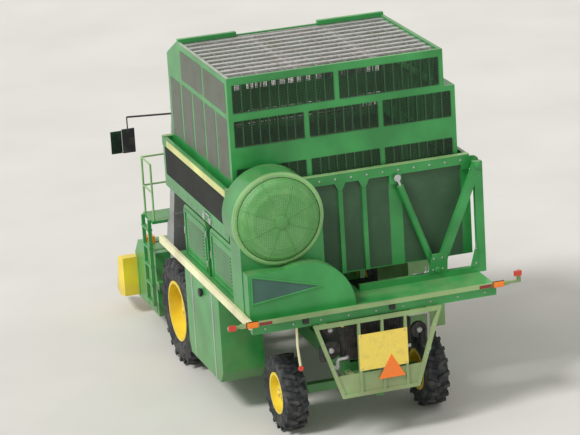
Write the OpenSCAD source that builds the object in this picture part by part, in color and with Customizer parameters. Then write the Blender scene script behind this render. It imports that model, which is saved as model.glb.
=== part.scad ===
// Self-propelled cotton picker with a telescoping mesh basket, standing on its wheels.
// +X points forward, +Y to the machine's left, +Z up, and the ground is at Z = 0.

/* [Overall] */
// Distance between the steered axle and the drive axle
wheelbase = 3700; // [3600:10:3900]
// From the steered axle back to the rear guard
rear_overhang = 1200; // [1180:10:1300]
// From the drive axle forward to the tips of the row dividers
front_reach = 3600; // [3500:10:3800]
// Distance between crop rows, and so between picking units
row_pitch = 965; // [950:5:980]

/* [Wheels] */
// Diameter of a drive tyre over its lugs
drive_tyre_d = 1800; // [1740:10:1820]
// Width of a drive tyre
drive_tyre_w = 520; // [480:10:530]
// Diameter of a drive rim at the bead
drive_rim_d = 980; // [900:10:1020]
// Middle of a drive wheel from the machine's middle
drive_wheel_y = 1620; // [1600:10:1640]
// Diameter of a steered tyre over its lugs
steer_tyre_d = 1200; // [1160:10:1220]
// Width of a steered tyre
steer_tyre_w = 380; // [340:10:390]
// Diameter of a steered rim at the bead
steer_rim_d = 620; // [580:10:660]
// Middle of a steered wheel from the machine's middle
steer_wheel_y = 1180; // [1175:5:1200]
// Kingpin from the machine's middle
kingpin_y = 920; // [905:5:925]
// Length of a steering arm
steer_arm = 200; // [180:5:210]
// Height of a tyre lug
lug_h = 38; // [25:1:42]
// Lugs on each side of a drive tyre
drive_lugs = 22; // [18:1:24]
// Lugs on each side of a steered tyre
steer_lugs = 18; // [14:1:20]

/* [Chassis] */
// Middle of a chassis rail from the machine's middle
rail_y = 450; // [430:5:460]
// Width of a chassis rail
rail_w = 100; // [80:5:110]
// Depth of a chassis rail
rail_h = 250; // [220:5:270]
// Underside of the chassis rails above the ground
rail_z = 1050; // [1040:5:1080]
// Top of the deck under the basket
deck_z = 2200; // [2180:5:2220]
// Thickness of the deck plate
deck_t = 50; // [40:2:60]
// Half the width of the deck and of the rear beam
deck_y = 2000; // [1960:5:2020]
// Length of a lift link between its pins
link_l = 600; // [560:5:620]
// Angle of the lift links below level as the head stands down
link_drop = 18; // [14:0.5:20]

/* [Basket] */
// Length of the basket
basket_l = 3450; // [3400:10:3500]
// Width of the basket's lower part
basket_w = 4000; // [3960:10:4040]
// From the steered axle back to the basket's rear wall
basket_back = 150; // [140:5:180]
// Bottom of the basket above the ground
basket_z = 2450; // [2440:5:2480]
// Top of the basket's lower part above the ground
basket_mid_z = 4080; // [4050:5:4120]
// Top of the raised roof above the ground
basket_top_z = 5800; // [5700:10:5900]
// Height at which the floor meets the left wall
floor_left_z = 3250; // [3200:10:3270]
// Where the floor starts to rise, from the machine's middle
floor_bend_y = 600; // [550:10:650]
// Thickness of a basket wall's frame
wall_t = 60; // [50:2:66]
// Width of a post between two windows
post_w = 90; // [70:2:110]
// Distance between the upright bars in a window
bar_pitch = 150; // [130:5:180]
// Width of a bar in a window
bar_w = 22; // [16:1:28]
// Distance between the slats of the roof
slat_pitch = 230; // [200:5:260]
// Width of a slat of the roof
slat_w = 95; // [80:5:120]

/* [Dump linkage] */
// Height of the dump pivot above the ground
pivot_z = 3950; // [3930:5:3970]
// Dump pivot from the machine's middle, on the right
pivot_y = 2050; // [2040:5:2080]
// Radius of a dump cylinder's barrel
barrel_r = 55; // [50:1:58]
// Radius of a dump cylinder's rod
rod_r = 30; // [25:1:34]

/* [Cab] */
// Length of the cab
cab_l = 1450; // [1400:10:1500]
// Width of the cab
cab_w = 1640; // [1600:10:1660]
// Top of the cab's walls above the ground
cab_top_z = 3950; // [3900:10:4000]
// Thickness of the cab's walls and its door
cab_t = 50; // [40:2:60]
// Thickness of the window glass
glass_t = 8; // [6:1:10]

/* [Picking head] */
// Underside of a picking unit above the ground
unit_z = 350; // [320:5:380]
// Height of a picking unit's cabinet
unit_h = 1150; // [1100:5:1170]
// Width of a picking unit's cabinet
unit_w = 700; // [660:5:720]
// Width of the throat that a crop row passes through
throat_w = 170; // [140:5:200]
// Width of an air duct
duct_w = 300; // [280:5:310]
// Depth of an air duct
duct_d = 220; // [200:5:230]
// Thickness of the duct's sheet
duct_t = 12; // [8:1:15]

/* [Hidden] */
$fn = 64;

// Clearances: round a pin, between faces that nearly touch, and round what moves.
pin_fit = 0.05;
seat = 0.3;

// Places along the machine.
rear_x = -(rear_overhang + wheelbase + front_reach) / 2;
steer_x = rear_x + rear_overhang;
drive_x = steer_x + wheelbase;
tip_x = drive_x + front_reach;
basket_x0 = steer_x - basket_back;
basket_x1 = basket_x0 + basket_l;
basket_y = basket_w / 2;
rail_top = rail_z + rail_h;
drive_r = drive_tyre_d / 2;
steer_r = steer_tyre_d / 2;

// Lift linkage: pins on the chassis and on the head.
link_x = drive_x + 650;
link_zs = [1000, 1350];
link_dx = link_l * cos(link_drop);
link_dz = -link_l * sin(link_drop);
link_r = 50;
link_pin_r = 20;
ear_t = 15;
link_w = rail_w - 2 * (ear_t + 5);

// Picking head.
head_x0 = link_x + link_dx + 180;
head_x1 = head_x0 + 1350;
unit_ys = [for (i = [0:3]) (i - 1.5) * row_pitch];
divider_ys = [for (i = [0:4]) (i - 2) * row_pitch];

// Air ducts: their sides from the middle, and the slanted centre line.
duct_ys = [row_pitch + 95, row_pitch + 515];
duct_foot = [drive_x + 990, 1250];
duct_head = [basket_x1 + 300, 5000];
duct_lean = (duct_head[0] - duct_foot[0]) / (duct_head[1] - duct_foot[1]);
duct_cut = duct_d * sqrt(1 + duct_lean * duct_lean);
duct_shift = 118;
duct_gap = 8;
boot_z = [1740, 2170, 2300];
boot_l = duct_cut + duct_shift + 2 * duct_gap + 4;
elbow_z = [1010, 1375];

// Dump linkage: base pin and rod eye of the cylinder, as [y, z].
dump_base = [-1300, 2350];
dump_eye = [-750, 3900];
dump_run = dump_eye - dump_base;
dump_l = norm(dump_run);
lug_t = 40;
eye_r = 55;
pin_r = 25;
frame_gap = 180;
frame_t = 80;

// Cab.
cab_gap = 450;
cab_x0 = basket_x1 + cab_gap;
cab_x1 = cab_x0 + cab_l;
cab_z0 = deck_z + 50;
cab_y = cab_w / 2;
door_x0 = cab_x0 + 750;
door_x1 = cab_x1 - 90;
door_z0 = cab_z0 + 60;
door_z1 = cab_top_z - 60;

green = "#2f8a3c";
pale_green = "#7fb77a";
yellow = "#f2c81e";
black = "#22242a";
steel = "#b9bcc0";
dark = "#2b2e30";
glass = "#33404a";

// A block between two corners.
module block(x, y, z)
    translate([x[0], y[0], z[0]])
        cube([x[1] - x[0], y[1] - y[0], z[1] - z[0]]);

// The same on both sides of the machine.
module both_sides() {
    children();
    mirror([0, 1, 0]) children();
}

// An outline in X and Z, as thick as from y[0] to y[1].
module side_plate(y)
    translate([0, y[1], 0]) rotate([90, 0, 0]) linear_extrude(y[1] - y[0]) children();

// An outline in Y and Z, as thick as from x[0] to x[1].
module cross_plate(x)
    translate([x[0], 0, 0]) rotate([90, 0, 90]) linear_extrude(x[1] - x[0]) children();

// An outline in X and Y, as thick as from z[0] to z[1].
module level_plate(z)
    translate([0, 0, z[0]]) linear_extrude(z[1] - z[0]) children();

// A round bar from one point to another.
module bar(a, b, r) {
    run = b - a;
    flat = norm([run[0], run[1]]);
    translate(a) rotate([0, atan2(flat, run[2]), atan2(run[1], run[0])]) cylinder(h = norm(run), r = r);
}

// A round pin along X or along Y.
module pin_x(x, y, z, r) translate([x[0], y, z]) rotate([0, 90, 0]) cylinder(h = x[1] - x[0], r = r);
module pin_y(x, y, z, r) translate([x, y[0], z]) rotate([-90, 0, 0]) cylinder(h = y[1] - y[0], r = r);

// A flat rectangle between two corners.
module rect(a, b) translate(a) square(b - a);

// A window's upright bars between two corners.
module window_bars(a, b) {
    count = floor((b[0] - a[0]) / bar_pitch);
    step = (b[0] - a[0]) / (count + 1);
    for (i = [1:count]) rect([a[0] + i * step - bar_w / 2, a[1]], [a[0] + i * step + bar_w / 2, b[1]]);
}

// Windows of equal width between a[0] and b[0], with a post between two.
function window_spans(a, b, n) = let (w = (b - a - (n - 1) * post_w) / n)
    [for (i = [0:n - 1]) [a + i * (w + post_w), a + i * (w + post_w) + w]];

// A row of windows to cut, and the bars that stay in them.
module window_row(a, b, n)
    for (s = window_spans(a[0], b[0], n))
        difference() {
            rect([s[0], a[1]], [s[1], b[1]]);
            window_bars([s[0], a[1]], [s[1], b[1]]);
        }

// Chassis: rails, cross members, axle saddles, deck posts, lift ears and tow bracket.
rail_x0 = rear_x + 300;
rail_x1 = link_x - 120;
cross_xs = [rail_x0, steer_x + 750, drive_x - 1550, drive_x + 400];
post_xs = [rail_x0, steer_x + 750, drive_x - 1550, drive_x - 850];
tow_x = rear_x + 170;
tow_z = 700;
tow_r = 16;
module main_frame() color(green) {
    both_sides() {
        block([rail_x0, rail_x1], [rail_y - rail_w / 2, rail_y + rail_w / 2], [rail_z, rail_top]);
        block([drive_x - 90, drive_x + 90], [rail_y - rail_w / 2, rail_y + rail_w / 2],
            [drive_r + 110, rail_z]);
        for (x = post_xs)
            block([x, x + 80], [rail_y - 40, rail_y + 40], [rail_top, deck_z - deck_t]);
        for (y = [rail_y - rail_w / 2, rail_y + rail_w / 2 - ear_t])
            block([rail_x1, link_x + link_r], [y, y + ear_t], [link_zs[0] - 60, link_zs[1] + 60]);
        for (z = link_zs)
            pin_y(link_x, [rail_y - rail_w / 2, rail_y + rail_w / 2], z, link_pin_r);
    }
    for (x = cross_xs)
        block([x, x + 100], [-rail_y, rail_y], [rail_z + 50, rail_top - 50]);
    block([steer_x - 80, steer_x + 80], [-rail_y, rail_y], [rail_z, rail_z + 150]);
    block([steer_x - 80, steer_x + 80], [-150, 150], [steer_r + 90, rail_z]);
    difference() {
        union() {
            block([rail_x0, rail_x0 + 100], [-70, 70], [tow_z, rail_z + 60]);
            block([rear_x + 110, rail_x0 + 100], [-70, 70], [tow_z, tow_z + 40]);
        }
        translate([tow_x, 0, tow_z - 1]) cylinder(h = 42, r = tow_r);
    }
}

// Engine and its pulleys, as one plain mass on the rails.
module engine_block() color(dark)
    block([rail_x0 + 250, rail_x0 + 1400], [-rail_y, rail_y], [rail_top, deck_z - deck_t - 60]);

// Drive axle with its final drives and spindles.
spindle_r = 70;
module front_axle() color(green) {
    block([drive_x - 110, drive_x + 110], [-drive_wheel_y + 400, drive_wheel_y - 400],
        [drive_r - 110, drive_r + 110]);
    both_sides() {
        pin_y(drive_x, [drive_wheel_y - 500, drive_wheel_y - 320], drive_r, 260);
        pin_y(drive_x, [drive_wheel_y - 320, drive_wheel_y + 60], drive_r, spindle_r);
    }
}

// Steered axle: a beam with a kingpin sleeve at each end.
sleeve_r = 60;
sleeve_h = 160;
kingpin_r = 30;
module rear_axle() color(green)
    difference() {
        union() {
            block([steer_x - 65, steer_x + 65], [-kingpin_y, kingpin_y], [steer_r - 70, steer_r + 70]);
            block([steer_x - 65, steer_x + 65], [-150, 150], [steer_r + 70, steer_r + 90 - seat]);
            both_sides() translate([steer_x, kingpin_y, steer_r - sleeve_h / 2])
                cylinder(h = sleeve_h, r = sleeve_r);
        }
        both_sides() translate([steer_x, kingpin_y, steer_r - sleeve_h / 2 - 1])
            cylinder(h = sleeve_h + 2, r = kingpin_r);
    }

// Knuckle: a yoke round the sleeve, its kingpin, its arm and its stub axle.
stub_r = 45;
yoke_t = 40;
module knuckle() {
    top = steer_r + sleeve_h / 2;
    low = steer_r - sleeve_h / 2;
    translate([steer_x, kingpin_y, 0]) {
        for (z = [[top + seat, top + yoke_t], [low - yoke_t, low - seat]])
            block([-60, 60], [-60, 110], z);
        block([-60, 60], [75, 110], [low - yoke_t, top + yoke_t]);
        block([0, steer_arm], [-30, 30], [low - yoke_t, low - seat]);
        translate([steer_arm, 0, low - yoke_t]) cylinder(h = yoke_t - seat, r = 30);
        translate([0, 0, low - yoke_t]) cylinder(h = sleeve_h + 2 * yoke_t, r = kingpin_r - pin_fit);
        pin_y(0, [110, steer_wheel_y - kingpin_y + 60], steer_r, stub_r);
    }
}
module knuckle_left() color(green) knuckle();
module knuckle_right() color(green) mirror([0, 1, 0]) knuckle();

// Tie rod under the ends of both steering arms.
module tie_rod() color(green) {
    top = steer_r - sleeve_h / 2 - yoke_t - seat;
    pin_y(steer_x + steer_arm, [-kingpin_y, kingpin_y], top - 20, 18);
    both_sides() translate([steer_x + steer_arm, kingpin_y, top - 40]) cylinder(h = 40, r = 30);
}

// Tyre round Z: a revolved carcass with slanted lugs that meet in the middle of the tread.
module tyre(r, w, bead_r, lugs) {
    h = r - lug_h - bead_r;
    bead = w / 2 - 45;
    lug_l = w / 2 - 14;
    lug_t = 0.30 * 2 * PI * r / lugs;
    half = [[0, bead], [0.10, bead + 8], [0.35, w / 2], [0.70, w / 2], [0.93, 0.42 * w], [1, 0.30 * w]];
    in_r = bead_r + seat;
    outline = concat([for (p = half) [in_r + p[0] * h, p[1]]],
        [for (i = [len(half) - 1:-1:0]) [in_r + half[i][0] * h, -half[i][1]]]);
    rotate_extrude() polygon(outline);
    intersection() {
        cylinder(h = w, r = r, center = true);
        for (side = [0, 1])
            mirror([0, 0, side])
                for (i = [0:lugs - 1])
                    rotate([0, 0, (i + side / 2) * 360 / lugs])
                        translate([bead_r + 0.80 * h, 0, 0]) rotate([90, 0, 90])
                            linear_extrude(r - bead_r)
                                polygon([[-lug_t / 2, -12], [lug_t / 2, -12],
                                    [lug_t / 2 + 0.42 * lug_l, lug_l], [-lug_t / 2 + 0.42 * lug_l, lug_l]]);
    }
}

// Rim round Z: barrel with flanges, a dished disc with hand holes, and a bored hub.
module rim(bead_r, w, axle_r, dish) {
    bead = w / 2 - 45;
    hub_r = axle_r + 55;
    difference() {
        rotate_extrude() {
            rect([bead_r - 22, -bead - 24], [bead_r, bead + 24]);
            rect([bead_r - 22, bead + 10], [bead_r + 26, bead + 24]);
            rect([bead_r - 22, -bead - 24], [bead_r + 26, -bead - 10]);
            polygon([[axle_r + 10, dish - 12], [axle_r + 10, dish + 12], [bead_r * 0.62, dish + 12],
                [bead_r - 10, dish - 40], [bead_r - 10, dish - 64], [bead_r * 0.60, dish - 12]]);
            rect([axle_r + pin_fit, dish - 140], [hub_r, dish + 40]);
        }
        for (i = [0:7])
            rotate([0, 0, i * 45]) translate([bead_r * 0.5, 0, dish - 100]) cylinder(h = 200, r = bead_r * 0.07);
    }
    translate([0, 0, dish + 40]) cylinder(h = 20, r = hub_r);
}

// The left wheels point their dish outwards, and the right wheels are their mirror images.
module at_drive() translate([drive_x, drive_wheel_y, drive_r]) rotate([-90, 0, 0]) children();
module at_steer() translate([steer_x, steer_wheel_y, steer_r]) rotate([-90, 0, 0]) children();
module drive_tyre() color(black) at_drive() tyre(drive_r, drive_tyre_w, drive_rim_d / 2, drive_lugs);
module drive_rim() color(yellow) at_drive() rim(drive_rim_d / 2, drive_tyre_w, spindle_r, 60);
module steer_tyre() color(black) at_steer() tyre(steer_r, steer_tyre_w, steer_rim_d / 2, steer_lugs);
module steer_rim() color(yellow) at_steer() rim(steer_rim_d / 2, steer_tyre_w, stub_r, 60);
module drive_tyre_left() drive_tyre();
module drive_rim_left() drive_rim();
module drive_tyre_right() mirror([0, 1, 0]) drive_tyre();
module drive_rim_right() mirror([0, 1, 0]) drive_rim();
module steer_tyre_left() steer_tyre();
module steer_rim_left() steer_rim();
module steer_tyre_right() mirror([0, 1, 0]) steer_tyre();
module steer_rim_right() mirror([0, 1, 0]) steer_rim();

// Deck on the left of the engine, with its outriggers, the rear beam and the basket's rests.
beam_x = [rear_x + 100, rear_x + 210];
beam_z = [deck_z - 170, deck_z];
deck_x1 = drive_x - 750;
rest_ys = [-1500, 300];
module deck() color(green) {
    block([rail_x0 + 50, deck_x1], [0, deck_y], [deck_z - deck_t, deck_z]);
    block([beam_x[0], rail_x0 + 50], [-deck_y, deck_y], [deck_z - deck_t, deck_z]);
    block(beam_x, [-deck_y, deck_y], beam_z);
    block([rail_x0 + 50, rail_x0 + 590], [-deck_y, 0], [deck_z - deck_t, deck_z]);
    block([post_xs[3], deck_x1], [-deck_y, 0], [deck_z - deck_t, deck_z]);
    for (x = [post_xs[1], post_xs[2]])
        block([x, x + 80], [-deck_y, 0], [deck_z - deck_t, deck_z]);
    for (x = [post_xs[1], post_xs[2]])
        for (y = rest_ys)
            block([x, x + 80], [y, y + 100], [deck_z, basket_z - seat]);
}

// Cream side rail along the left edge of the deck.
module side_rail() color("#e8e2b8")
    block([beam_x[0], drive_x + 100], [deck_y + seat, deck_y + 50], [deck_z - 80, deck_z + 60]);

// Fuel tank between the wheels on the left, with a sloping lower edge.
module left_tank() color(green) {
    x = [steer_x + 850, drive_x - 1000];
    side_plate([1250, 1950])
        polygon([[x[0], 750], [x[0] + 150, 550], [x[1] - 100, 550], [x[1], 750], [x[1], deck_z - deck_t - seat],
            [x[0], deck_z - deck_t - seat]]);
}

// Service panel on the right, with two openings and the arms that carry it.
module right_panel() color(pale_green) {
    x = [steer_x + 950, drive_x - 1250];
    bay = (x[1] - x[0] - 380) / 2;
    difference() {
        block(x, [-1900, -1300], [900, deck_z - deck_t - seat]);
        for (i = [0, 1])
            block([x[0] + 140 + i * (bay + 100), x[0] + 140 + bay + i * (bay + 100)], [-1901, -1350], [1150, 1800]);
    }
    for (cx = [x[0] + 200, x[1] - 400])
        block([cx, cx + 100], [-1300, -rail_y - rail_w / 2 - seat], [1150, 1250]);
}

// Screen housing behind the basket on the left, a tall box with a round top.
screen_y = 1380;
screen_z = 3700;
screen_r = 720;
house_x = [rail_x0 + 60, basket_x0 - 50];
module screen_housing() color(green)
    cross_plate([house_x[0] + 120, house_x[1]]) {
        translate([screen_y, screen_z]) circle(r = screen_r);
        rect([screen_y - screen_r, deck_z], [screen_y + screen_r - 100, screen_z]);
    }

// The rotary screen in front of it: a shallow domed drum that faces the rear.
module rotary_screen() color(green)
    translate([house_x[0] + 120 - seat, screen_y, screen_z]) rotate([0, -90, 0]) rotate_extrude()
        polygon([[0, 0], [screen_r - 60, 0], [screen_r - 60, 60], [screen_r - 130, 150],
            [screen_r - 280, 200], [0, 215]]);

// The cowl under it, with a round shoulder on the right.
cowl_r = 800;
module lower_cowl() color(green)
    cross_plate([house_x[0] - 130, house_x[0] + 120 - 2 * seat])
        intersection() {
            union() {
                translate([1070, deck_z]) circle(r = cowl_r);
                rect([1070, deck_z], [deck_y - 10, deck_z + cowl_r - 60]);
            }
            rect([200, deck_z], [deck_y - 10, deck_z + 820]);
        }

// Two tall doors with round upper corners along the left side, above the deck.
door_gap = 150;
doors_x = [house_x[1] + door_gap, drive_x - 1000];
side_door_l = (doors_x[1] - doors_x[0] - door_gap) / 2;
door_xs = [for (i = [0, 1]) let (a = doors_x[0] + i * (side_door_l + door_gap)) [a, a + side_door_l]];
side_door_z = 3100;
side_door_r = 160;
module side_panels() color(green)
    for (x = door_xs)
        side_plate([1840, 1900]) {
            r = side_door_r;
            rect([x[0], deck_z], [x[1], side_door_z - r]);
            rect([x[0] + r, side_door_z - r], [x[1] - r, side_door_z]);
            for (cx = [x[0] + r, x[1] - r]) intersection() {
                translate([cx, side_door_z - r]) circle(r = r);
                rect([x[0], side_door_z - r - 10], [x[1], side_door_z]);
            }
        }

// Frames that carry the basket's dump pivot and the cylinders, behind and before the basket.
rear_frame_x = [basket_x0 - frame_gap - frame_t, basket_x0 - frame_gap];
front_frame_x = [basket_x1 + frame_gap, basket_x1 + frame_gap + frame_t];
pivot_pin_r = 35;
module support_outline() {
    y = -pivot_y;
    polygon([[y - 70, deck_z], [y + 70, deck_z], [y + 70, pivot_z + 60], [y - 70, pivot_z + 60]]);
    polygon([[y - 40, pivot_z - 60], [y + 60, pivot_z + 60], [dump_base[0] + 60, deck_z + 100],
        [dump_base[0] - 60, deck_z + 40]]);
    rect([y, deck_z], [0, deck_z + 100]);
    rect([dump_base[0] - 90, deck_z], [dump_base[0] + 90, dump_base[1] + 70]);
}
module support_frames() color(green) {
    cross_plate(rear_frame_x) support_outline();
    cross_plate(front_frame_x) support_outline();
    pin_x([rear_frame_x[1], basket_x0 + lug_t], -pivot_y, pivot_z, pivot_pin_r);
    pin_x([basket_x1 - lug_t, front_frame_x[0]], -pivot_y, pivot_z, pivot_pin_r);
    pin_x([rear_frame_x[1], basket_x0 - lug_t - 10], dump_base[0], dump_base[1], pin_r);
    pin_x([basket_x1 + lug_t + 10, front_frame_x[0]], dump_base[0], dump_base[1], pin_r);
    block([deck_x1, front_frame_x[1]], [-deck_y - 120, 0], [deck_z - deck_t, deck_z]);
}

// Light bar across the rear, with an arm and two lamps at each end.
bar_y = 2400;
bar_x = [beam_x[0] - 58, beam_x[0] - seat];
bar_z = deck_z + 40;
module light_bar() color(pale_green) {
    block(bar_x, [-bar_y + 200, bar_y - 200], [bar_z - 60, bar_z]);
    block([bar_x[0] + 10, bar_x[1] - 10], [-bar_y, -bar_y + 60], [bar_z - 50, bar_z + 150]);
    block([bar_x[0] + 10, bar_x[1] - 10], [-bar_y, -bar_y + 200], [bar_z - 50, bar_z - 10]);
    block([bar_x[0] + 10, bar_x[1] - 10], [bar_y - 200, bar_y], [bar_z - 50, bar_z - 10]);
}
lamp_x = bar_x[0] - seat;
module amber_lamps() color("#ff8a1a")
    for (y = [-2100, 1930])
        block([lamp_x - 40, lamp_x], [y, y + 170], [bar_z - 60, bar_z + 20]);
module red_lamps() color("#d8392b")
    for (p = [[-bar_y, bar_z + 70], [bar_y - 120, bar_z - 60]])
        block([lamp_x - 30, lamp_x + 10], [p[0], p[0] + 120], [p[1], p[1] + 80]);

// Guard round the rear of the engine: a tapering frame with uprights and a sheet in its foot.
plate_t = 6;
guard_x = rear_x + 2 * (plate_t + seat);
guard_top = [1050, beam_z[0] - seat];
guard_foot = [635, 780];
guard_w = 60;
function guard_y(z) = guard_foot[0] + (guard_top[0] - guard_foot[0]) * (z - guard_foot[1])
    / (guard_top[1] - guard_foot[1]);
module guard_area(inset, z0, z1)
    polygon([[-guard_y(z0) + inset, z0], [guard_y(z0) - inset, z0],
        [guard_y(z1) - inset, z1], [-guard_y(z1) + inset, z1]]);
module rear_guard() color(pale_green) {
    cross_plate([guard_x, guard_x + guard_w]) {
        difference() {
            guard_area(0, guard_foot[1], guard_top[1]);
            guard_area(guard_w, guard_foot[1] + guard_w, guard_top[1] - guard_w);
        }
        for (y = [-460, -80, 300]) rect([y, guard_foot[1] + 10], [y + 40, guard_top[1] - 10]);
    }
    cross_plate([guard_x + 20, guard_x + 40]) guard_area(10, guard_foot[1] + 10, 1150);
    for (y = [-900, 820])
        block([guard_x + 40, beam_x[1]], [y, y + 80], [guard_top[1] - guard_w, guard_top[1]]);
    for (y = [-rail_y - 40, rail_y - 40])
        block([guard_x + 40, rail_x0 - seat], [y, y + 80], [rail_z + 20, rail_z + 90]);
}

// Yellow plate on the guard, and the slow vehicle sign on its lower corner.
module yellow_plate() color(yellow)
    block([guard_x - seat - plate_t, guard_x - seat], [-460, 340], [1190, 1780]);
module slow_sign() color("#ff7a1a")
    cross_plate([rear_x, rear_x + plate_t])
        polygon([[-400, 1010], [40, 1010], [-180, 1390]]);

// Cab: a hollow shell with pillars, whose windows are cut right through.
module cab_profile(in)
    polygon([[cab_x0 + in, cab_z0 + in], [cab_x1 - 110 - in, cab_z0 + in], [cab_x1 - in, cab_z0 + 650],
        [cab_x1 - 90 - in, cab_top_z - in], [cab_x0 + in, cab_top_z - in]]);
side_window = [[cab_x0 + 110, cab_z0 + 500], [door_x0 - 60, cab_top_z - 130]];
module cab_shell() color(dark) {
    for (z = hinge_zs) {
        zs = [z - hinge_h, z - seat];
        translate([door_hinge[0], door_hinge[1], zs[0]]) cylinder(h = zs[1] - zs[0], r = hinge_r);
        block([door_x0 - 60, door_x0 - 5], [cab_y - 1, door_hinge[1] + 8], zs);
        block([door_x0 - 6, door_hinge[0]], [cab_y + 6, door_hinge[1] + 8], zs);
    }
    difference() {
        side_plate([-cab_y, cab_y]) cab_profile(0);
        side_plate([-cab_y + cab_t, cab_y - cab_t]) cab_profile(cab_t);
        block([cab_x0 - 1, cab_x0 + 60], [-cab_y + 130, cab_y - 130], [cab_z0 + 700, cab_top_z - 130]);
        block([cab_x1 - 220, cab_x1 + 10], [-cab_y + 90, cab_y - 90], [cab_z0 + 120, cab_top_z - 110]);
        both_sides() block([side_window[0][0], side_window[1][0]], [cab_y - cab_t - 1, cab_y + 1],
            [side_window[0][1], side_window[1][1]]);
        block([door_x0, door_x1 - 60], [-cab_y - 1, -cab_y + cab_t + 1], [cab_z0 + 300, door_z1 - 60]);
        block([door_x0, door_x1], [cab_y - cab_t - 1, cab_y + 1], [door_z0, door_z1]);
    }
}

// Roof with rounded corners and a raised middle.
module cab_roof() color(green) {
    level_plate([cab_top_z + seat, cab_top_z + 90])
        hull() for (x = [cab_x0 - 40, cab_x1 - 20]) for (y = [-cab_y + 40, cab_y - 40])
            translate([x, y]) circle(r = 70, $fn = 32);
    level_plate([cab_top_z + 90, cab_top_z + 130])
        hull() for (x = [cab_x0 + 150, cab_x1 - 220]) for (y = [-cab_y + 220, cab_y - 220])
            translate([x, y]) circle(r = 90, $fn = 32);
}

// Window panes in the shell.
module cab_glass() color(glass) {
    block([cab_x0 + 20, cab_x0 + 20 + glass_t], [-cab_y + 130 + seat, cab_y - 130 - seat],
        [cab_z0 + 700 + seat, cab_top_z - 130 - seat]);
    both_sides() block([side_window[0][0] + seat, side_window[1][0] - seat],
        [cab_y - 30, cab_y - 30 + glass_t], [side_window[0][1] + seat, side_window[1][1] - seat]);
    block([door_x0 + seat, door_x1 - 60 - seat], [-cab_y + 30 - glass_t, -cab_y + 30],
        [cab_z0 + 300 + seat, door_z1 - 60 - seat]);
    side_plate([-cab_y + 90 + seat, cab_y - 90 - seat]) {
        k = 20;
        polygon([[cab_x1 - 110 - k + (120 + seat) * 110 / 650, cab_z0 + 120 + seat], [cab_x1 - k, cab_z0 + 650],
            [cab_x1 - k - 90 * (cab_top_z - 110 - cab_z0 - 650) / (cab_top_z - cab_z0 - 650),
                cab_top_z - 110 - seat],
            [cab_x1 - k - glass_t - 90 * (cab_top_z - 110 - cab_z0 - 650) / (cab_top_z - cab_z0 - 650),
                cab_top_z - 110 - seat],
            [cab_x1 - k - glass_t, cab_z0 + 650],
            [cab_x1 - 110 - k - glass_t + (120 + seat) * 110 / 650, cab_z0 + 120 + seat]]);
    }
}

// Seat: a pedestal, a cushion and a backrest.
seat_x = cab_x0 + 420;
module cab_seat() color(black) {
    block([seat_x + 60, seat_x + 340], [-140, 140], [cab_z0 + cab_t + seat, cab_z0 + 440]);
    side_plate([-260, 260])
        polygon([[seat_x, cab_z0 + 400], [seat_x + 480, cab_z0 + 420], [seat_x + 480, cab_z0 + 520],
            [seat_x + 110, cab_z0 + 520], [seat_x + 40, cab_z0 + 1050], [seat_x - 60, cab_z0 + 1050]]);
}

// Steering column with its wheel.
module cab_column() color(black) {
    foot = [cab_x1 - 280, 0, cab_z0 + cab_t + seat];
    head = [cab_x1 - 420, 0, cab_z0 + 750];
    translate(foot + [-60, -90, 0]) cube([120, 180, 40]);
    bar(foot + [0, 0, 20], head, 35);
    translate(head) rotate([0, -16, 0]) {
        cylinder(h = 25, r = 50);
        rotate_extrude() translate([190, 12]) circle(r = 14);
        for (i = [0:2]) rotate([0, 0, i * 120]) translate([0, -12, 4]) cube([185, 24, 14]);
    }
}

// Door on the left, hinged at its rear edge, with its window cut.
door_hinge = [door_x0 + 20, cab_y + 22];
hinge_r = 14;
hinge_zs = [door_z0 + 150, door_z1 - 250];
hinge_h = 80;
module cab_door() color(green)
    difference() {
        union() {
            block([door_x0 + 6, door_x1 - 6], [cab_y - cab_t + 5, cab_y], [door_z0 + 6, door_z1 - 6]);
            for (z = hinge_zs) {
                translate([door_hinge[0], door_hinge[1], z]) cylinder(h = hinge_h, r = hinge_r);
                block([door_hinge[0] - 8, door_hinge[0] + 8], [cab_y - 10, door_hinge[1]], [z, z + hinge_h]);
            }
        }
        block([door_x0 + 80, door_x1 - 80], [cab_y - cab_t, cab_y + 1], [door_z0 + 450, door_z1 - 80]);
    }
module door_glass() color(glass)
    block([door_x0 + 80 + seat, door_x1 - 80 - seat], [cab_y - 28, cab_y - 28 + glass_t],
        [door_z0 + 450 + seat, door_z1 - 80 - seat]);

// Floor frame under the cab, the walkway on the left and the ladder down its side.
boot_front = duct_foot[0] + duct_lean * (boot_z[1] - duct_foot[1]) + (duct_shift + boot_l) / 2 + duct_t;
walk_x = [boot_front + 40, cab_x1 + 130];
floor_x = cab_x0 - 50;
module platform() color(green) {
    block([floor_x, walk_x[1]], [-cab_y, cab_y], [deck_z - deck_t, cab_z0 - seat]);
    both_sides() block([floor_x - 30, floor_x + 50], [rail_y - 40, rail_y + 40], [rail_top, deck_z - deck_t]);
    block([walk_x[0], walk_x[1]], [cab_y, 1900], [deck_z - deck_t, deck_z]);
    block([front_frame_x[1], floor_x], [-900, 900], [deck_z - deck_t, deck_z]);
    ladder = [walk_x[0] + 100, walk_x[0] + 480];
    for (x = ladder) block([x, x + 40], [1900, 1960], [650, deck_z]);
    for (i = [0:4])
        block([ladder[0], ladder[1] + 40], [1890, 1970], [680 + i * 330, 710 + i * 330]);
}

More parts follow.
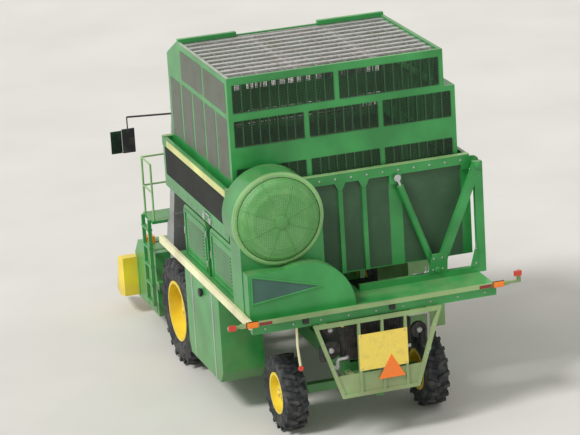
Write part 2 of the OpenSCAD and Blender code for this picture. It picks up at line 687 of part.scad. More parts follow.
// Handrails round the walkway.
module handrails() color(pale_green) {
    z = [deck_z + seat, deck_z + 1000];
    ps = [[walk_x[0] + 40, 1860], [walk_x[1] - 40, 1860], [walk_x[1] - 40, cab_y + 60]];
    for (p = ps) bar([p[0], p[1], z[0]], [p[0], p[1], z[1]], 18);
    for (i = [0, 1]) for (k = [0.5, 1])
        bar([ps[i][0], ps[i][1], z[0] + k * 1000 - 10], [ps[i + 1][0], ps[i + 1][1], z[0] + k * 1000 - 10], 16);
}

// Mirrors on long arms from the front pillars, each on a short foot.
module mirrors() color(black)
    both_sides() {
        foot = [cab_x1 - 130, cab_y + 25, cab_top_z - 40];
        out = [cab_x1 + 150, 2050, cab_top_z - 40];
        pin_y(foot[0], [cab_y + seat, cab_y + 40], foot[2], 26);
        bar(foot, out, 16);
        bar(out, out - [0, 0, 600], 11);
        translate(out - [32, 110, 620]) cube([28, 220, 420]);
    }

// Beacon and its stem on the rim of the cab roof.
module beacon() color(black)
    translate([cab_x0 - 20, 600, cab_top_z + 90 + seat]) {
        cylinder(h = 60, r = 40);
        translate([0, 0, 60]) cylinder(h = 110, r = 70);
    }

// Section of a duct in X and Z from rows of [height, middle, width], less its sheet.
// The first row is lowered and the last row raised by grow, so that a hollow cuts through.
function duct_side(rows, t, grow, side) = let (n = len(rows)) [for (i = [0:n - 1])
    [rows[i][1] + side * (rows[i][2] / 2 - t), rows[i][0] + (i == 0 ? -grow : i == n - 1 ? grow : 0)]];
function duct_outline(rows, t, grow) = let (front = duct_side(rows, t, grow, 1))
    concat(duct_side(rows, t, grow, -1), [for (i = [len(rows) - 1:-1:0]) front[i]]);
function duct_x(z) = duct_foot[0] + duct_lean * (z - duct_foot[1]);

// Boots: deep sleeves that the lifting ducts rise in. Above them the ducts run straight up.
duct_top = duct_head[1] + 60;
mouth_h = 240;
function boot_row(z) = [z, duct_x(z) + duct_shift / 2, boot_l];
function run_row(z) = [z, duct_x(z), duct_cut];
module duct_skin(y, t) side_plate([y - duct_w / 2 - duct_gap - t, y + duct_w / 2 + duct_gap + t]) children();
module duct_boots() color(steel)
    both_sides() for (y = duct_ys)
        difference() {
            duct_skin(y, duct_t) polygon(duct_outline([boot_row(boot_z[0]), boot_row(boot_z[1])], -duct_t, 0));
            duct_skin(y, 0) polygon(duct_outline([boot_row(boot_z[0]), boot_row(boot_z[1])], 0, 1));
        }
module upper_ducts() color(steel)
    both_sides() for (y = duct_ys)
        difference() {
            duct_skin(y, duct_t)
                polygon(duct_outline([boot_row(boot_z[1]), run_row(boot_z[2]), run_row(duct_top)], -duct_t, 0));
            duct_skin(y, 0)
                polygon(duct_outline([boot_row(boot_z[1]), run_row(boot_z[2]), run_row(duct_top - duct_t)], 0, 1));
            duct_skin(y, 0)
                rect([duct_x(duct_top) - duct_cut, duct_top - duct_t - mouth_h], [duct_x(duct_top), duct_top - duct_t]);
        }

// Lift links, one pair each side, between the chassis and the head.
module link(z)
    side_plate([rail_y - link_w / 2, rail_y + link_w / 2])
        translate([link_x, z]) rotate(-link_drop)
            difference() {
                union() {
                    rect([0, -35], [link_l, 35]);
                    for (x = [0, link_l]) translate([x, 0]) circle(r = link_r);
                }
                for (x = [0, link_l]) translate([x, 0]) circle(r = link_pin_r + pin_fit);
            }
module lower_links() color(green) both_sides() link(link_zs[0]);
module upper_links() color(green) both_sides() link(link_zs[1]);

// Head frame: a toolbar with ears for the links.
module head_frame() color(green) {
    x = link_x + link_dx;
    both_sides() {
        for (y = [rail_y - rail_w / 2, rail_y + rail_w / 2 - ear_t])
            block([x - link_r, head_x0 - seat], [y, y + ear_t],
                [link_zs[0] + link_dz - 60, link_zs[1] + link_dz + 60]);
        for (z = link_zs)
            pin_y(x, [rail_y - rail_w / 2, rail_y + rail_w / 2], z + link_dz, link_pin_r);
    }
    block([x + 60, head_x0 - seat], [-unit_ys[3] - unit_w / 2, unit_ys[3] + unit_w / 2], [850, 1000]);
}

// Picking units: cabinets with a round nose, each open along its crop row.
throat_z = unit_z + 800;
throat_out_z = 830;
module picking_units() color(green)
    for (y = unit_ys)
        difference() {
            side_plate([y - unit_w / 2, y + unit_w / 2]) {
                top = unit_z + unit_h;
                polygon([[head_x0, unit_z], [head_x1, unit_z], [head_x1, top - 350], [head_x1 - 250, top - 60],
                    [head_x1 - 500, top], [head_x0, top]]);
            }
            side_plate([y - throat_w / 2, y + throat_w / 2])
                polygon([[head_x0 - 1, unit_z - 1], [head_x1 + 1, unit_z - 1], [head_x1 + 1, throat_z],
                    [head_x0 + 350, throat_z], [head_x0 - 1, throat_out_z]]);
        }

// Row dividers: tapered snouts between and beside the rows.
divider_y = (row_pitch - unit_w) / 2 - seat;
module row_dividers() color(yellow)
    for (y = divider_ys)
        intersection() {
            side_plate([y - 200, y + 200])
                polygon([[head_x1 - 100, 380], [tip_x, 240], [tip_x, 290], [tip_x - 350, 620],
                    [head_x1 + 100, 1080], [head_x1 - 100, 1080]]);
            level_plate([200, 1100])
                polygon([[head_x1 - 100, y - divider_y], [head_x1 + seat, y - divider_y],
                    [head_x1 + 150, y - divider_y - 20], [tip_x, y - 25], [tip_x, y + 25],
                    [head_x1 + 150, y + divider_y + 20], [head_x1 + seat, y + divider_y],
                    [head_x1 - 100, y + divider_y]]);
        }

// Lower ducts: they rise with the head inside the boots of the upper ducts.
lift_top = 1800;
module lower_ducts() color(steel)
    both_sides() {
        for (y = duct_ys)
            side_plate([y - duct_w / 2, y + duct_w / 2]) {
                r = duct_cut / 2;
                polygon([[head_x0 - seat, elbow_z[0]], [duct_x(elbow_z[0]) - r + 90, elbow_z[0]],
                    [duct_foot[0] - r, duct_foot[1]], [duct_x(lift_top) - r, lift_top],
                    [duct_x(lift_top) + r, lift_top], [duct_x(elbow_z[1]) + r, elbow_z[1]],
                    [head_x0 - seat, elbow_z[1]]]);
            }
        block([head_x0 - 330, head_x0 - seat], [560, duct_ys[0] - duct_w / 2], elbow_z);
    }

// Basket floor: flat on the right, rising to the left wall, on cross bearers.
floor_pts = [[-basket_y, basket_z], [floor_bend_y, basket_z], [basket_y, floor_left_z]];
module basket_floor() color(green) {
    cross_plate([basket_x0 + wall_t + seat, basket_x1 - wall_t - seat]) {
        polygon([[-basket_y + wall_t + seat, basket_z + 60], [floor_bend_y, basket_z + 60],
            [basket_y - wall_t - seat, floor_left_z + 60 - 60 * (floor_left_z - basket_z) / 1400],
            [basket_y - wall_t - seat, floor_left_z + 30 - 60 * (floor_left_z - basket_z) / 1400],
            [floor_bend_y, basket_z + 30], [-basket_y + wall_t + seat, basket_z + 30]]);
    }
    for (x = [basket_x0 + 200, post_xs[1], (post_xs[1] + post_xs[2]) / 2, post_xs[2], basket_x1 - 280])
        block([x, x + 80], [-basket_y + wall_t + seat, floor_bend_y], [basket_z, basket_z + 30]);
}

// Lower part of the basket: a frame with windows, lugs at the pivot and for the cylinders.
module end_wall_outline() polygon(concat(floor_pts, [[basket_y, basket_mid_z], [-basket_y, basket_mid_z]]));
module side_wall(y, z0, windows_z, n)
    side_plate(y) difference() {
        rect([basket_x0 + wall_t, z0], [basket_x1 - wall_t, basket_mid_z]);
        window_row([basket_x0 + 160, windows_z[0]], [basket_x1 - 160, windows_z[1]], n);
    }
module basket_walls() color(green) {
    difference() {
        union() {
            for (x = [[basket_x0, basket_x0 + wall_t], [basket_x1 - wall_t, basket_x1]])
                cross_plate(x) end_wall_outline();
            for (x = [[basket_x0 - lug_t, basket_x0], [basket_x1, basket_x1 + lug_t]]) {
                pin_x(x, -pivot_y, pivot_z, 100);
                cross_plate(x) rect([-pivot_y, pivot_z - 100], [-basket_y + 150, pivot_z + 100]);
                cross_plate(x) rect([-basket_y + 10, basket_mid_z - 150], [basket_y, basket_mid_z]);
                cross_plate(x) rect([dump_eye[0] - 100, dump_eye[1] - 120], [dump_eye[0] + 100, basket_mid_z - 10]);
                for (y = [-260, 130]) cross_plate(x) rect([y, basket_z + 10], [y + 70, basket_mid_z - 10]);
            }
        }
        for (x = [basket_x0 - lug_t - 1, basket_x1 - wall_t - 1])
            pin_x([x, x + wall_t + lug_t + 2], -pivot_y, pivot_z, pivot_pin_r + pin_fit);
    }
    side_wall([-basket_y, -basket_y + wall_t], basket_z, [2880, 3930], 5);
    side_wall([basket_y - wall_t, basket_y], floor_left_z, [3480, 3930], 5);
}

// Yellow stripe along the foot of both side walls.
module basket_stripe() color(yellow) {
    block([basket_x0 + 40, basket_x1 - 220], [-basket_y - 6 - seat, -basket_y - seat], [2600, 2720]);
    block([basket_x0 + 40, basket_x1 - 220], [basket_y + seat, basket_y + 6 + seat],
        [basket_mid_z - 130, basket_mid_z - 20]);
}

// Upper part: it stands inside the lower part, and its top right corner steps in.
up_x = [basket_x0 + 90, basket_x1 - 90];
up_y = basket_y - 150;
up_z0 = basket_mid_z - 100;
step_y = 180;
step_z = 5200;
slope_x = 600;
slope_z = 5500;
roof_z0 = basket_top_z - 60;
module upper_end(z1) {
    difference() {
        polygon([[-up_y, up_z0], [up_y, up_z0], [up_y, z1], [-up_y + step_y, z1], [-up_y + step_y, step_z],
            [-up_y, step_z]]);
        window_row([-up_y + 80, up_z0 + 100], [up_y - 80, 4350], 3);
        window_row([-up_y + 80, 4700], [up_y - 80, 5110], 3);
        if (z1 > slope_z + 100) window_row([-up_y + step_y + 80, 5240], [up_y - 80, z1 - 120], 2);
    }
}
module upper_side(y, z0, z1, windows)
    side_plate(y) intersection() {
        difference() {
            rect([up_x[0] + wall_t, z0], [up_x[1] - wall_t, z1]);
            for (w = windows) window_row([up_x[0] + 120, w[0]], [up_x[1] - w[3], w[1]], w[2]);
        }
        polygon([[up_x[0], z0], [up_x[1], z0], [up_x[1], slope_z], [up_x[1] - slope_x, basket_top_z],
            [up_x[0], basket_top_z]]);
    }
module upper_walls() color(green) {
    cross_plate([up_x[0], up_x[0] + wall_t]) upper_end(basket_top_z);
    cross_plate([up_x[1] - wall_t, up_x[1]]) upper_end(slope_z);
    upper_side([up_y - wall_t, up_y], up_z0, basket_top_z, [[4190, 5110, 5, 120], [5240, 5680, 2, 780]]);
    upper_side([-up_y, -up_y + wall_t], up_z0, step_z, [[4190, 5110, 5, 120]]);
    upper_side([-up_y + step_y, -up_y + step_y + wall_t], step_z - 60, basket_top_z, [[5240, 5680, 2, 780]]);
    block([up_x[0], up_x[1]], [-up_y, -up_y + step_y + wall_t], [step_z - 60, step_z]);
    for (y = [-1600, 1500]) {
        block([basket_x0 + wall_t + seat, up_x[0] + 1], [y, y + 100], [up_z0, up_z0 + 90]);
        block([up_x[1] - 1, basket_x1 - wall_t - seat], [y, y + 100], [up_z0, up_z0 + 90]);
    }
}

// Roof: slats across the machine, flat behind and sloping down at the front.
module roof_grille() color(steel) {
    y = [-up_y + step_y + wall_t + seat, up_y - wall_t - seat];
    flat = up_x[1] - slope_x - up_x[0] - wall_t;
    drop = basket_top_z - slope_z;
    count = floor(flat / slat_pitch);
    for (i = [0:count - 1])
        block([up_x[0] + wall_t + 20 + i * flat / count, up_x[0] + wall_t + 20 + i * flat / count + slat_w],
            y, [roof_z0, roof_z0 + 30]);
    for (yy = [y[0], -620, 620, y[1] - 50]) {
        block([up_x[0] + wall_t + seat, up_x[1] - slope_x], [yy, yy + 50], [roof_z0 - 40, roof_z0]);
        side_plate([yy, yy + 50])
            polygon([[up_x[1] - slope_x, roof_z0 - 40], [up_x[1] - wall_t - seat, slope_z - 80],
                [up_x[1] - wall_t - seat, slope_z - 40], [up_x[1] - slope_x, roof_z0]]);
    }
    side_plate(y) for (i = [0:2]) {
        a = 0.12 + i * 0.30;
        b = a + 0.15;
        run = slope_x - wall_t;
        fall = roof_z0 - slope_z + 40;
        polygon([[up_x[1] - slope_x + a * run, roof_z0 - 3 - a * fall],
            [up_x[1] - slope_x + b * run, roof_z0 - 3 - b * fall],
            [up_x[1] - slope_x + b * run, roof_z0 + 30 - b * fall],
            [up_x[1] - slope_x + a * run, roof_z0 + 30 - a * fall]]);
    }
}

// Dump cylinders: barrel on the frame's pin, rod whose eye stands beside the basket's lug.
barrel_l = dump_l - 145;
rear_cyl_x = basket_x0 - lug_t - 60;
front_cyl_x = basket_x1 + lug_t + 60;
module along_cylinder(x)
    translate([x, dump_base[0], dump_base[1]])
        rotate([atan2(-dump_run[0], dump_run[1]), 0, 0]) children();
module barrel(x) color(green)
    difference() {
        along_cylinder(x) union() {
            translate([0, 0, 30]) cylinder(h = barrel_l - 30, r = barrel_r);
            pin_x([-50, 50], 0, 0, 60);
        }
        along_cylinder(x) {
            translate([0, 0, 70]) cylinder(h = barrel_l, r = rod_r + pin_fit);
            pin_x([-60, 60], 0, 0, pin_r + pin_fit);
        }
    }
module rod(x, side) color(steel)
    along_cylinder(x) {
        translate([0, 0, 80]) cylinder(h = dump_l - 80, r = rod_r);
        translate([0, 0, dump_l]) {
            pin_x([-35, 35], 0, 0, eye_r);
            pin_x(side > 0 ? [35, 60 - seat] : [seat - 60, -35], 0, 0, pin_r);
        }
    }
module dump_barrels() {
    barrel(rear_cyl_x);
    barrel(front_cyl_x);
}
module dump_rods() {
    rod(rear_cyl_x, 1);
    rod(front_cyl_x, -1);
}

main_frame();
engine_block();
front_axle();
rear_axle();
deck();
side_rail();
left_tank();
right_panel();
screen_housing();
rotary_screen();
lower_cowl();
side_panels();
support_frames();
light_bar();
amber_lamps();
red_lamps();
rear_guard();
yellow_plate();
slow_sign();
cab_shell();
cab_roof();
cab_glass();
cab_seat();
cab_column();
platform();
handrails();
mirrors();
beacon();
duct_boots();
upper_ducts();
cab_door();
door_glass();
drive_tyre_left();
drive_rim_left();
drive_tyre_right();
drive_rim_right();
knuckle_left();
knuckle_right();
tie_rod();
steer_tyre_left();
steer_rim_left();
steer_tyre_right();
steer_rim_right();
lower_links();
upper_links();
head_frame();
picking_units();
row_dividers();
lower_ducts();
basket_floor();
basket_walls();
basket_stripe();
upper_walls();
roof_grille();
dump_barrels();
dump_rods();
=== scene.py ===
"""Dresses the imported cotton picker: paint, rubber, glass, wire mesh, bolts, pipes and studio."""

import logging
import math
from collections.abc import Iterable, Sequence
from dataclasses import dataclass, field
from enum import Enum

import bpy
from mathutils import Matrix, Quaternion, Vector


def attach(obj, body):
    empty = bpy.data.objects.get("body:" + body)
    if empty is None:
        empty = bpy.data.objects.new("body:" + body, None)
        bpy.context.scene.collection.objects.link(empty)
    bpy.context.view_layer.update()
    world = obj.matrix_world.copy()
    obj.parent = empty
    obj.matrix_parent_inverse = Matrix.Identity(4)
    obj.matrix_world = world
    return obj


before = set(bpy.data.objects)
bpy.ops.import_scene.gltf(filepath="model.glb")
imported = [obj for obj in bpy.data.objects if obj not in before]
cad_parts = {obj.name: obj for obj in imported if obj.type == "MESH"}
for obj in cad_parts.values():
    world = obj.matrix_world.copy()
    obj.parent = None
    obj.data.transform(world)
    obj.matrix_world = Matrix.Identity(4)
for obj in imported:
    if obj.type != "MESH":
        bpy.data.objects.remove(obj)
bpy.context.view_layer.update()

LOG = logging.getLogger("picker")
MM = 0.001
SHARP_ANGLE = math.radians(35)

Point = Sequence[float]
Span = tuple[float, float]
Colour = tuple[float, float, float, float]
Tree = bpy.types.NodeTree
Node = bpy.types.Node
Socket = bpy.types.NodeSocket
# A colour by its hex code, or as a factor and a lift of the finish's own colour.
Tint = str | Span


class Axis(Enum):
    """Direction that a wheel, lathe or bolt points in."""

    X = (1, 0, 0)
    Y = (0, 1, 0)
    Z = (0, 0, 1)
    BACK = (-1, 0, 0)
    RIGHT = (0, -1, 0)


class Side(Enum):
    """Side of the machine, as the sign of its y."""

    LEFT = 1
    RIGHT = -1

    @property
    def outward(self) -> Axis:
        """Returns the direction that points away from the machine's middle."""
        return Axis.Y if self is Side.LEFT else Axis.RIGHT


class Body(Enum):
    """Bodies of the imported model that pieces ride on."""

    CHASSIS = "chassis"
    BASKET = "basket"
    BASKET_TOP = "basket_top"
    HEAD = "head"
    CAB_DOOR = "cab_door"
    DRIVE_LEFT = "drive_wheel_left"
    DRIVE_RIGHT = "drive_wheel_right"
    STEER_LEFT = "steer_wheel_left"
    STEER_RIGHT = "steer_wheel_right"


class Slot(Enum):
    """Material slots of the record."""

    GREEN = "green_paint"
    PALE = "pale_green_paint"
    YELLOW = "yellow_paint"
    CREAM = "cream_paint"
    DARK = "dark_metal"
    ZINC = "zinc_sheet"
    CHROME = "rod_chrome"
    TYRE = "tyre"
    PLASTIC = "black_plastic"
    VINYL = "seat_vinyl"
    CAB = "cab_dark"
    GLASS = "window_glass"
    AMBER = "amber_lens"
    RED = "red_lens"
    ORANGE = "orange_sign"


class Pattern(Enum):
    """Patterns: the node, the socket that sets its character, and the output that is used."""

    CLOUDS = ("ShaderNodeTexNoise", "Detail", 0)
    CELLS = ("ShaderNodeTexVoronoi", "Randomness", 0)
    FLAKES = ("ShaderNodeTexVoronoi", "Randomness", 1)


def linear(code: str) -> Colour:
    """Turns an sRGB hex colour into linear light.

    Args:
        code: Six hex digits after a hash.

    Returns:
        Red, green, blue and an alpha of 1.
    """
    parts = [int(code[i : i + 2], 16) / 255 for i in (1, 3, 5)]
    r, g, b = [c / 12.92 if c <= 0.04045 else ((c + 0.055) / 1.055) ** 2.4 for c in parts]
    return (r, g, b, 1.0)


def set_inputs(tree: Tree, node: Node, inputs: dict[str | int, object]) -> None:
    """Sets a node's inputs, or links them.

    Args:
        tree: Tree that holds the node.
        node: Node whose inputs are set.
        inputs: Socket name or index, with a value or another node's output.
    """
    for key, value in inputs.items():
        if isinstance(value, Socket):
            tree.links.new(value, node.inputs[key])
        else:
            node.inputs[key].default_value = value


def add_node(
    tree: Tree,
    kind: str,
    inputs: dict[str | int, object] | None = None,
    settings: dict[str, object] | None = None,
) -> Node:
    """Adds a shader node with its settings, values and links.

    Args:
        tree: Tree that takes the node.
        kind: Type of the node.
        inputs: Socket name or index, with a value or another node's output.
        settings: Attributes of the node.

    Returns:
        The new node.
    """
    made = tree.nodes.new(kind)
    for name, value in (settings or {}).items():
        setattr(made, name, value)
    set_inputs(tree, made, inputs or {})
    return made


@dataclass(frozen=True)
class Texture:
    """A pattern at its real size; character is the clouds' detail, or how scattered cells lie."""

    size_mm: float
    character: float = 3.0
    pattern: Pattern = Pattern.CLOUDS

    def value(self, tree: Tree, place: Socket) -> Socket:
        """Adds the pattern.

        Args:
            tree: The material's nodes.
            place: Place on the part in metres.

        Returns:
            The pattern's value.
        """
        kind, character, output = self.pattern.value
        scale = 1 / (self.size_mm * MM)
        inputs = {"Vector": place, "Scale": scale, character: self.character}
        return add_node(tree, kind, inputs).outputs[output]


@dataclass(frozen=True)
class Mask:
    """Where a pattern lets a layer show: nowhere at low, and by most at high."""

    texture: Texture
    low: float
    high: float
    most: float = 1.0

    def value(self, tree: Tree, place: Socket) -> Socket:
        """Adds the pattern and cuts it to its range.

        Args:
            tree: The material's nodes.
            place: Place on the part in metres.

        Returns:
            The mask, from 0 to most.
        """
        pattern = self.texture.value(tree, place)
        inputs = {0: pattern, 1: self.low, 2: self.high, 3: 0.0, 4: self.most}
        return add_node(tree, "ShaderNodeMapRange", inputs).outputs[0]


@dataclass(frozen=True)
class Relief:
    """Bumps of a pattern: how deep they are, and how much of that is used."""

    texture: Texture
    depth_mm: float
    strength: float

    def normal(self, tree: Tree, place: Socket) -> Socket:
        """Adds the pattern and turns it into a normal.

        Args:
            tree: The material's nodes.
            place: Place on the part in metres.

        Returns:
            The normal.
        """
        height = self.texture.value(tree, place)
        inputs = {"Height": height, "Distance": self.depth_mm * MM, "Strength": self.strength}
        return add_node(tree, "ShaderNodeBump", inputs).outputs[0]


@dataclass(frozen=True)
class Finish:
    """What a surface is made of, and how it was made.

    Its ground colour has layers over it, each a tint with its mask. Roughness is one value, or
    a pair for where the first layer doesn't show and where it shows most. Values are numbers
    for the shader's own sockets.
    """

    name: str
    slot: Slot
    colour: str = "#808080"
    ground: Tint = (1.0, 0.0)
    layers: tuple[tuple[Tint, Mask], ...] = ()
    relief: Relief | None = None
    roughness: float | Span = 0.5
    values: tuple[tuple[str, float], ...] = ()

    def material(self) -> bpy.types.Material:
        """Makes the Blender material at the first call.

        Returns:
            The material.
        """
        known = bpy.data.materials.get(self.name)
        if known:
            return known
        made = bpy.data.materials.new(self.name)
        made.use_nodes = True
        tree = made.node_tree
        place = add_node(tree, "ShaderNodeTexCoord").outputs["Object"]
        self.dress(tree, tree.nodes["Principled BSDF"], place)
        return made

    def tint(self, wanted: Tint) -> Colour:
        """Works out a tint.

        Args:
            wanted: A hex code, or a factor and a lift of the finish's own colour.

        Returns:
            The colour in linear light.
        """
        if isinstance(wanted, str):
            return linear(wanted)
        factor, lift = wanted
        r, g, b = [min(1.0, c * factor + lift) for c in linear(self.colour)[:3]]
        return (r, g, b, 1.0)

    def body(self, tree: Tree, place: Socket) -> Colour | Socket:
        """Lays the layers over the ground colour.

        Args:
            tree: The material's nodes.
            place: Place on the part in metres.

        Returns:
            The colour that shows.
        """
        colour: Colour | Socket = self.tint(self.ground)
        for tint, mask in self.layers:
            inputs = {0: mask.value(tree, place), 6: colour, 7: self.tint(tint)}
            colour = add_node(tree, "ShaderNodeMix", inputs, {"data_type": "RGBA"}).outputs[2]
        return colour

    def dress(self, tree: Tree, shader: Node, place: Socket) -> None:
        """Fills in the shader.

        Args:
            tree: The material's nodes.
            shader: Its Principled node.
            place: Place on the part in metres.
        """
        inputs: dict[str | int, object] = dict(self.values)
        inputs["Base Color"] = self.body(tree, place)
        if isinstance(self.roughness, tuple):
            mask = self.layers[0][1]
            clean, covered = self.roughness
            spread = {0: mask.value(tree, place), 1: 0.0, 2: mask.most, 3: clean, 4: covered}
            inputs["Roughness"] = add_node(tree, "ShaderNodeMapRange", spread).outputs[0]
        else:
            inputs["Roughness"] = self.roughness
        if self.relief:
            inputs["Normal"] = self.relief.normal(tree, place)
        set_inputs(tree, shader, inputs)


@dataclass(frozen=True)
class SprayedPaint(Finish):
    """Enamel sprayed on steel: glossy, faded in patches, dusty on top and near the ground."""

    dust: float = 0.35
    dust_colour: str = "#a8967a"
    dusty_roughness: float = 0.8
    blotches: Mask = Mask(Texture(380, 5), 0.30, 0.80)
    # How upright a face is where dust starts to lie, and where it lies fully.
    ledge: Span = (0.35, 0.95)
    # Height in metres where the wheels' dirt starts, and where it is thickest.
    splash: Span = (2.3, 0.5)
    ground: Tint = (0.80, 0.0)
    layers: tuple[tuple[Tint, Mask], ...] = (((1.28, 0.012), Mask(Texture(900), 0.35, 0.68)),)
    # Orange peel of the sprayed coat is 3 mm across.
    relief: Relief | None = Relief(Texture(3, 1), 0.15, 0.35)
    roughness: float | Span = 0.34
    values: tuple[tuple[str, float], ...] = (("Coat Weight", 0.25), ("Coat Roughness", 0.15))

    def dress(self, tree: Tree, shader: Node, place: Socket) -> None:
        """Fills in the shader, with dust on ledges and splashed dirt low down.

        Args:
            tree: The material's nodes.
            shader: Its Principled node.
            place: Place on the part in metres.
        """
        facing = add_node(tree, "ShaderNodeNewGeometry").outputs["Normal"]
        both: list[Socket] = []
        for vector, (start, end) in ((facing, self.ledge), (place, self.splash)):
            up = add_node(tree, "ShaderNodeSeparateXYZ", {0: vector}).outputs[2]
            spread = {0: up, 1: start, 2: end, 3: 0.0, 4: self.dust}
            both.append(add_node(tree, "ShaderNodeMapRange", spread).outputs[0])
        most = add_node(tree, "ShaderNodeMath", {0: both[0], 1: both[1]}, {"operation": "MAXIMUM"})
        haze = add_node(
            tree,
            "ShaderNodeMath",
            {0: most.outputs[0], 1: self.blotches.value(tree, place)},
            {"operation": "MULTIPLY"},
        ).outputs[0]
        coated = {0: haze, 6: self.body(tree, place), 7: linear(self.dust_colour)}
        colour = add_node(tree, "ShaderNodeMix", coated, {"data_type": "RGBA"}).outputs[2]
        dulled = {0: haze, 1: 0.0, 2: 0.5, 3: self.roughness, 4: self.dusty_roughness}
        inputs: dict[str | int, object] = dict(self.values)
        inputs["Base Color"] = colour
        inputs["Roughness"] = add_node(tree, "ShaderNodeMapRange", dulled).outputs[0]
        inputs["Normal"] = self.relief.normal(tree, place)
        set_inputs(tree, shader, inputs)


@dataclass(frozen=True)
class GalvanisedSheet(Finish):
    """Hot dipped steel sheet: pale grey, with a 22 mm spangle of dull and bright crystals."""

    colour: str = "#b4b6b8"
    ground: Tint = (0.80, 0.0)
    layers: tuple[tuple[Tint, Mask], ...] = (
        ((1.0, 0.0), Mask(Texture(22, 1, Pattern.FLAKES), 0.0, 1.0)),
        ("#9c8f7c", Mask(Texture(320, 5), 0.48, 0.75, 0.5)),
    )
    roughness: float | Span = (0.38, 0.58)
    values: tuple[tuple[str, float], ...] = (("Metallic", 0.55),)


@dataclass(frozen=True)
class TyreRubber(Finish):
    """Moulded tyre rubber: nearly black and dull, with field dust in its grooves."""

    colour: str = "#2b2f33"
    layers: tuple[tuple[Tint, Mask], ...] = (("#807c76", Mask(Texture(120, 6), 0.40, 0.72, 0.42)),)
    # Mould grain is 4 mm, drawn at 8 mm so that it shows.
    relief: Relief | None = Relief(Texture(8, 4), 1.2, 0.6)
    roughness: float | Span = 0.78
    values: tuple[tuple[str, float], ...] = (("Specular IOR Level", 0.35),)


@dataclass(frozen=True)
class SealRubber(TyreRubber):
    """Extruded seal rubber: black and dull, with little dust."""

    colour: str = "#17181a"
    layers: tuple[tuple[Tint, Mask], ...] = (("#807c76", Mask(Texture(120, 6), 0.40, 0.72, 0.2)),)


@dataclass(frozen=True)
class CastIron(Finish):
    """Sand cast iron with oil and dust on it: dark, rough and blotched."""

    colour: str = "#2e2f31"
    layers: tuple[tuple[Tint, Mask], ...] = (("#5f564a", Mask(Texture(70, 5), 0.45, 0.75, 0.7)),)
    # Moulding sand is 1 mm, drawn at 5 mm so that it shows.
    relief: Relief | None = Relief(Texture(5), 0.8, 0.5)
    roughness: float | Span = 0.6
    values: tuple[tuple[str, float], ...] = (("Metallic", 0.3),)


@dataclass(frozen=True)
class GroundChrome(Finish):
    """Hard chromed rod, ground round: bright, with a thin dull film in places."""

    colour: str = "#c9ccd0"
    layers: tuple[tuple[Tint, Mask], ...] = (("#8f8d88", Mask(Texture(40), 0.4, 0.7, 0.3)),)
    roughness: float | Span = 0.16
    values: tuple[tuple[str, float], ...] = (("Metallic", 1.0),)


@dataclass(frozen=True)
class MouldedPlastic(Finish):
    """Injection moulded polypropylene: dull black with a fine pebble."""

    colour: str = "#1d1f22"
    layers: tuple[tuple[Tint, Mask], ...] = (("#7d7466", Mask(Texture(130, 4), 0.5, 0.8, 0.30)),)
    # Pebble is 1.5 mm, drawn at 4 mm so that it shows.
    relief: Relief | None = Relief(Texture(4, 2), 0.3, 0.4)
    roughness: float | Span = 0.55


@dataclass(frozen=True)
class TintedGlass(Finish):
    """Tinted safety glass: dark, smooth and partly clear, with a film of dust."""

    colour: str = "#2a3a40"
    layers: tuple[tuple[Tint, Mask], ...] = (("#8d877c", Mask(Texture(260, 5), 0.45, 0.8, 0.25)),)
    roughness: float | Span = (0.04, 0.35)
    values: tuple[tuple[str, float], ...] = (("IOR", 1.52), ("Transmission Weight", 0.55))


@dataclass(frozen=True)
class LampLens(Finish):
    """Moulded polycarbonate lens: clear colour over 14 mm prisms, with a faint glow; on the
    reflectors, which are no lamps, the glow is painted light.
    """

    colour: str = "#ff8a1a"
    layers: tuple[tuple[Tint, Mask], ...] = (
        ((0.72, 0.0), Mask(Texture(14, 1, Pattern.CELLS), 0.0, 0.6)),
    )
    relief: Relief | None = Relief(Texture(14, 1, Pattern.CELLS), 2.0, 0.5)
    roughness: float | Span = 0.18
    values: tuple[tuple[str, float], ...] = (("IOR", 1.58), ("Emission Strength", 0.12))

    def dress(self, tree: Tree, shader: Node, place: Socket) -> None:
        """Fills in the shader, which glows in the lens's own colour; on the reflectors the glow is
        painted light.

        Args:
            tree: The material's nodes.
            shader: Its Principled node.
            place: Place on the part in metres.
        """
        super().dress(tree, shader, place)
        shader.inputs["Emission Color"].default_value = linear(self.colour)


@dataclass(frozen=True)
class SeatVinyl(Finish):
    """Calendered vinyl on foam: black, with a 5 mm leather grain and a faint sheen."""

    colour: str = "#26272a"
    layers: tuple[tuple[Tint, Mask], ...] = (("#4a4a4c", Mask(Texture(90), 0.45, 0.75, 0.5)),)
    relief: Relief | None = Relief(Texture(5, 1, Pattern.CELLS), 0.8, 0.6)


@dataclass(frozen=True)
class RibbedSheeting(Finish):
    """Reflective sheeting on plate: flat colour with a fine honeycomb under a little soil."""

    colour: str = "#ff7a1a"
    # Honeycomb is 3 mm, drawn at 12 mm so that it shows.
    layers: tuple[tuple[Tint, Mask], ...] = (
        ((1.1, 0.02), Mask(Texture(12, 1, Pattern.CELLS), 0.2, 0.7)),
        ("#a08b5c", Mask(Texture(110, 5), 0.5, 0.8, 0.28)),
    )
    roughness: float | Span = 0.4


# Holes are 6 mm, drawn at 34 mm pitch so that they show.
HOLES = Texture(34, 0.25, Pattern.CELLS)
IN_HOLES = Mask(HOLES, 0.34, 0.22)
LINT = Mask(Texture(260, 5), 0.42, 0.72, 0.5)


@dataclass(frozen=True)
class PunchedScreen(Finish):
    """Painted steel screen punched with round holes, which look like a fine dark grid."""

    colour: str = "#5a9a52"
    layers: tuple[tuple[Tint, Mask], ...] = (("#7fae72", LINT), ("#487f47", IN_HOLES))
    relief: Relief | None = Relief(HOLES, 2.0, 0.5)
    roughness: float | Span = 0.55


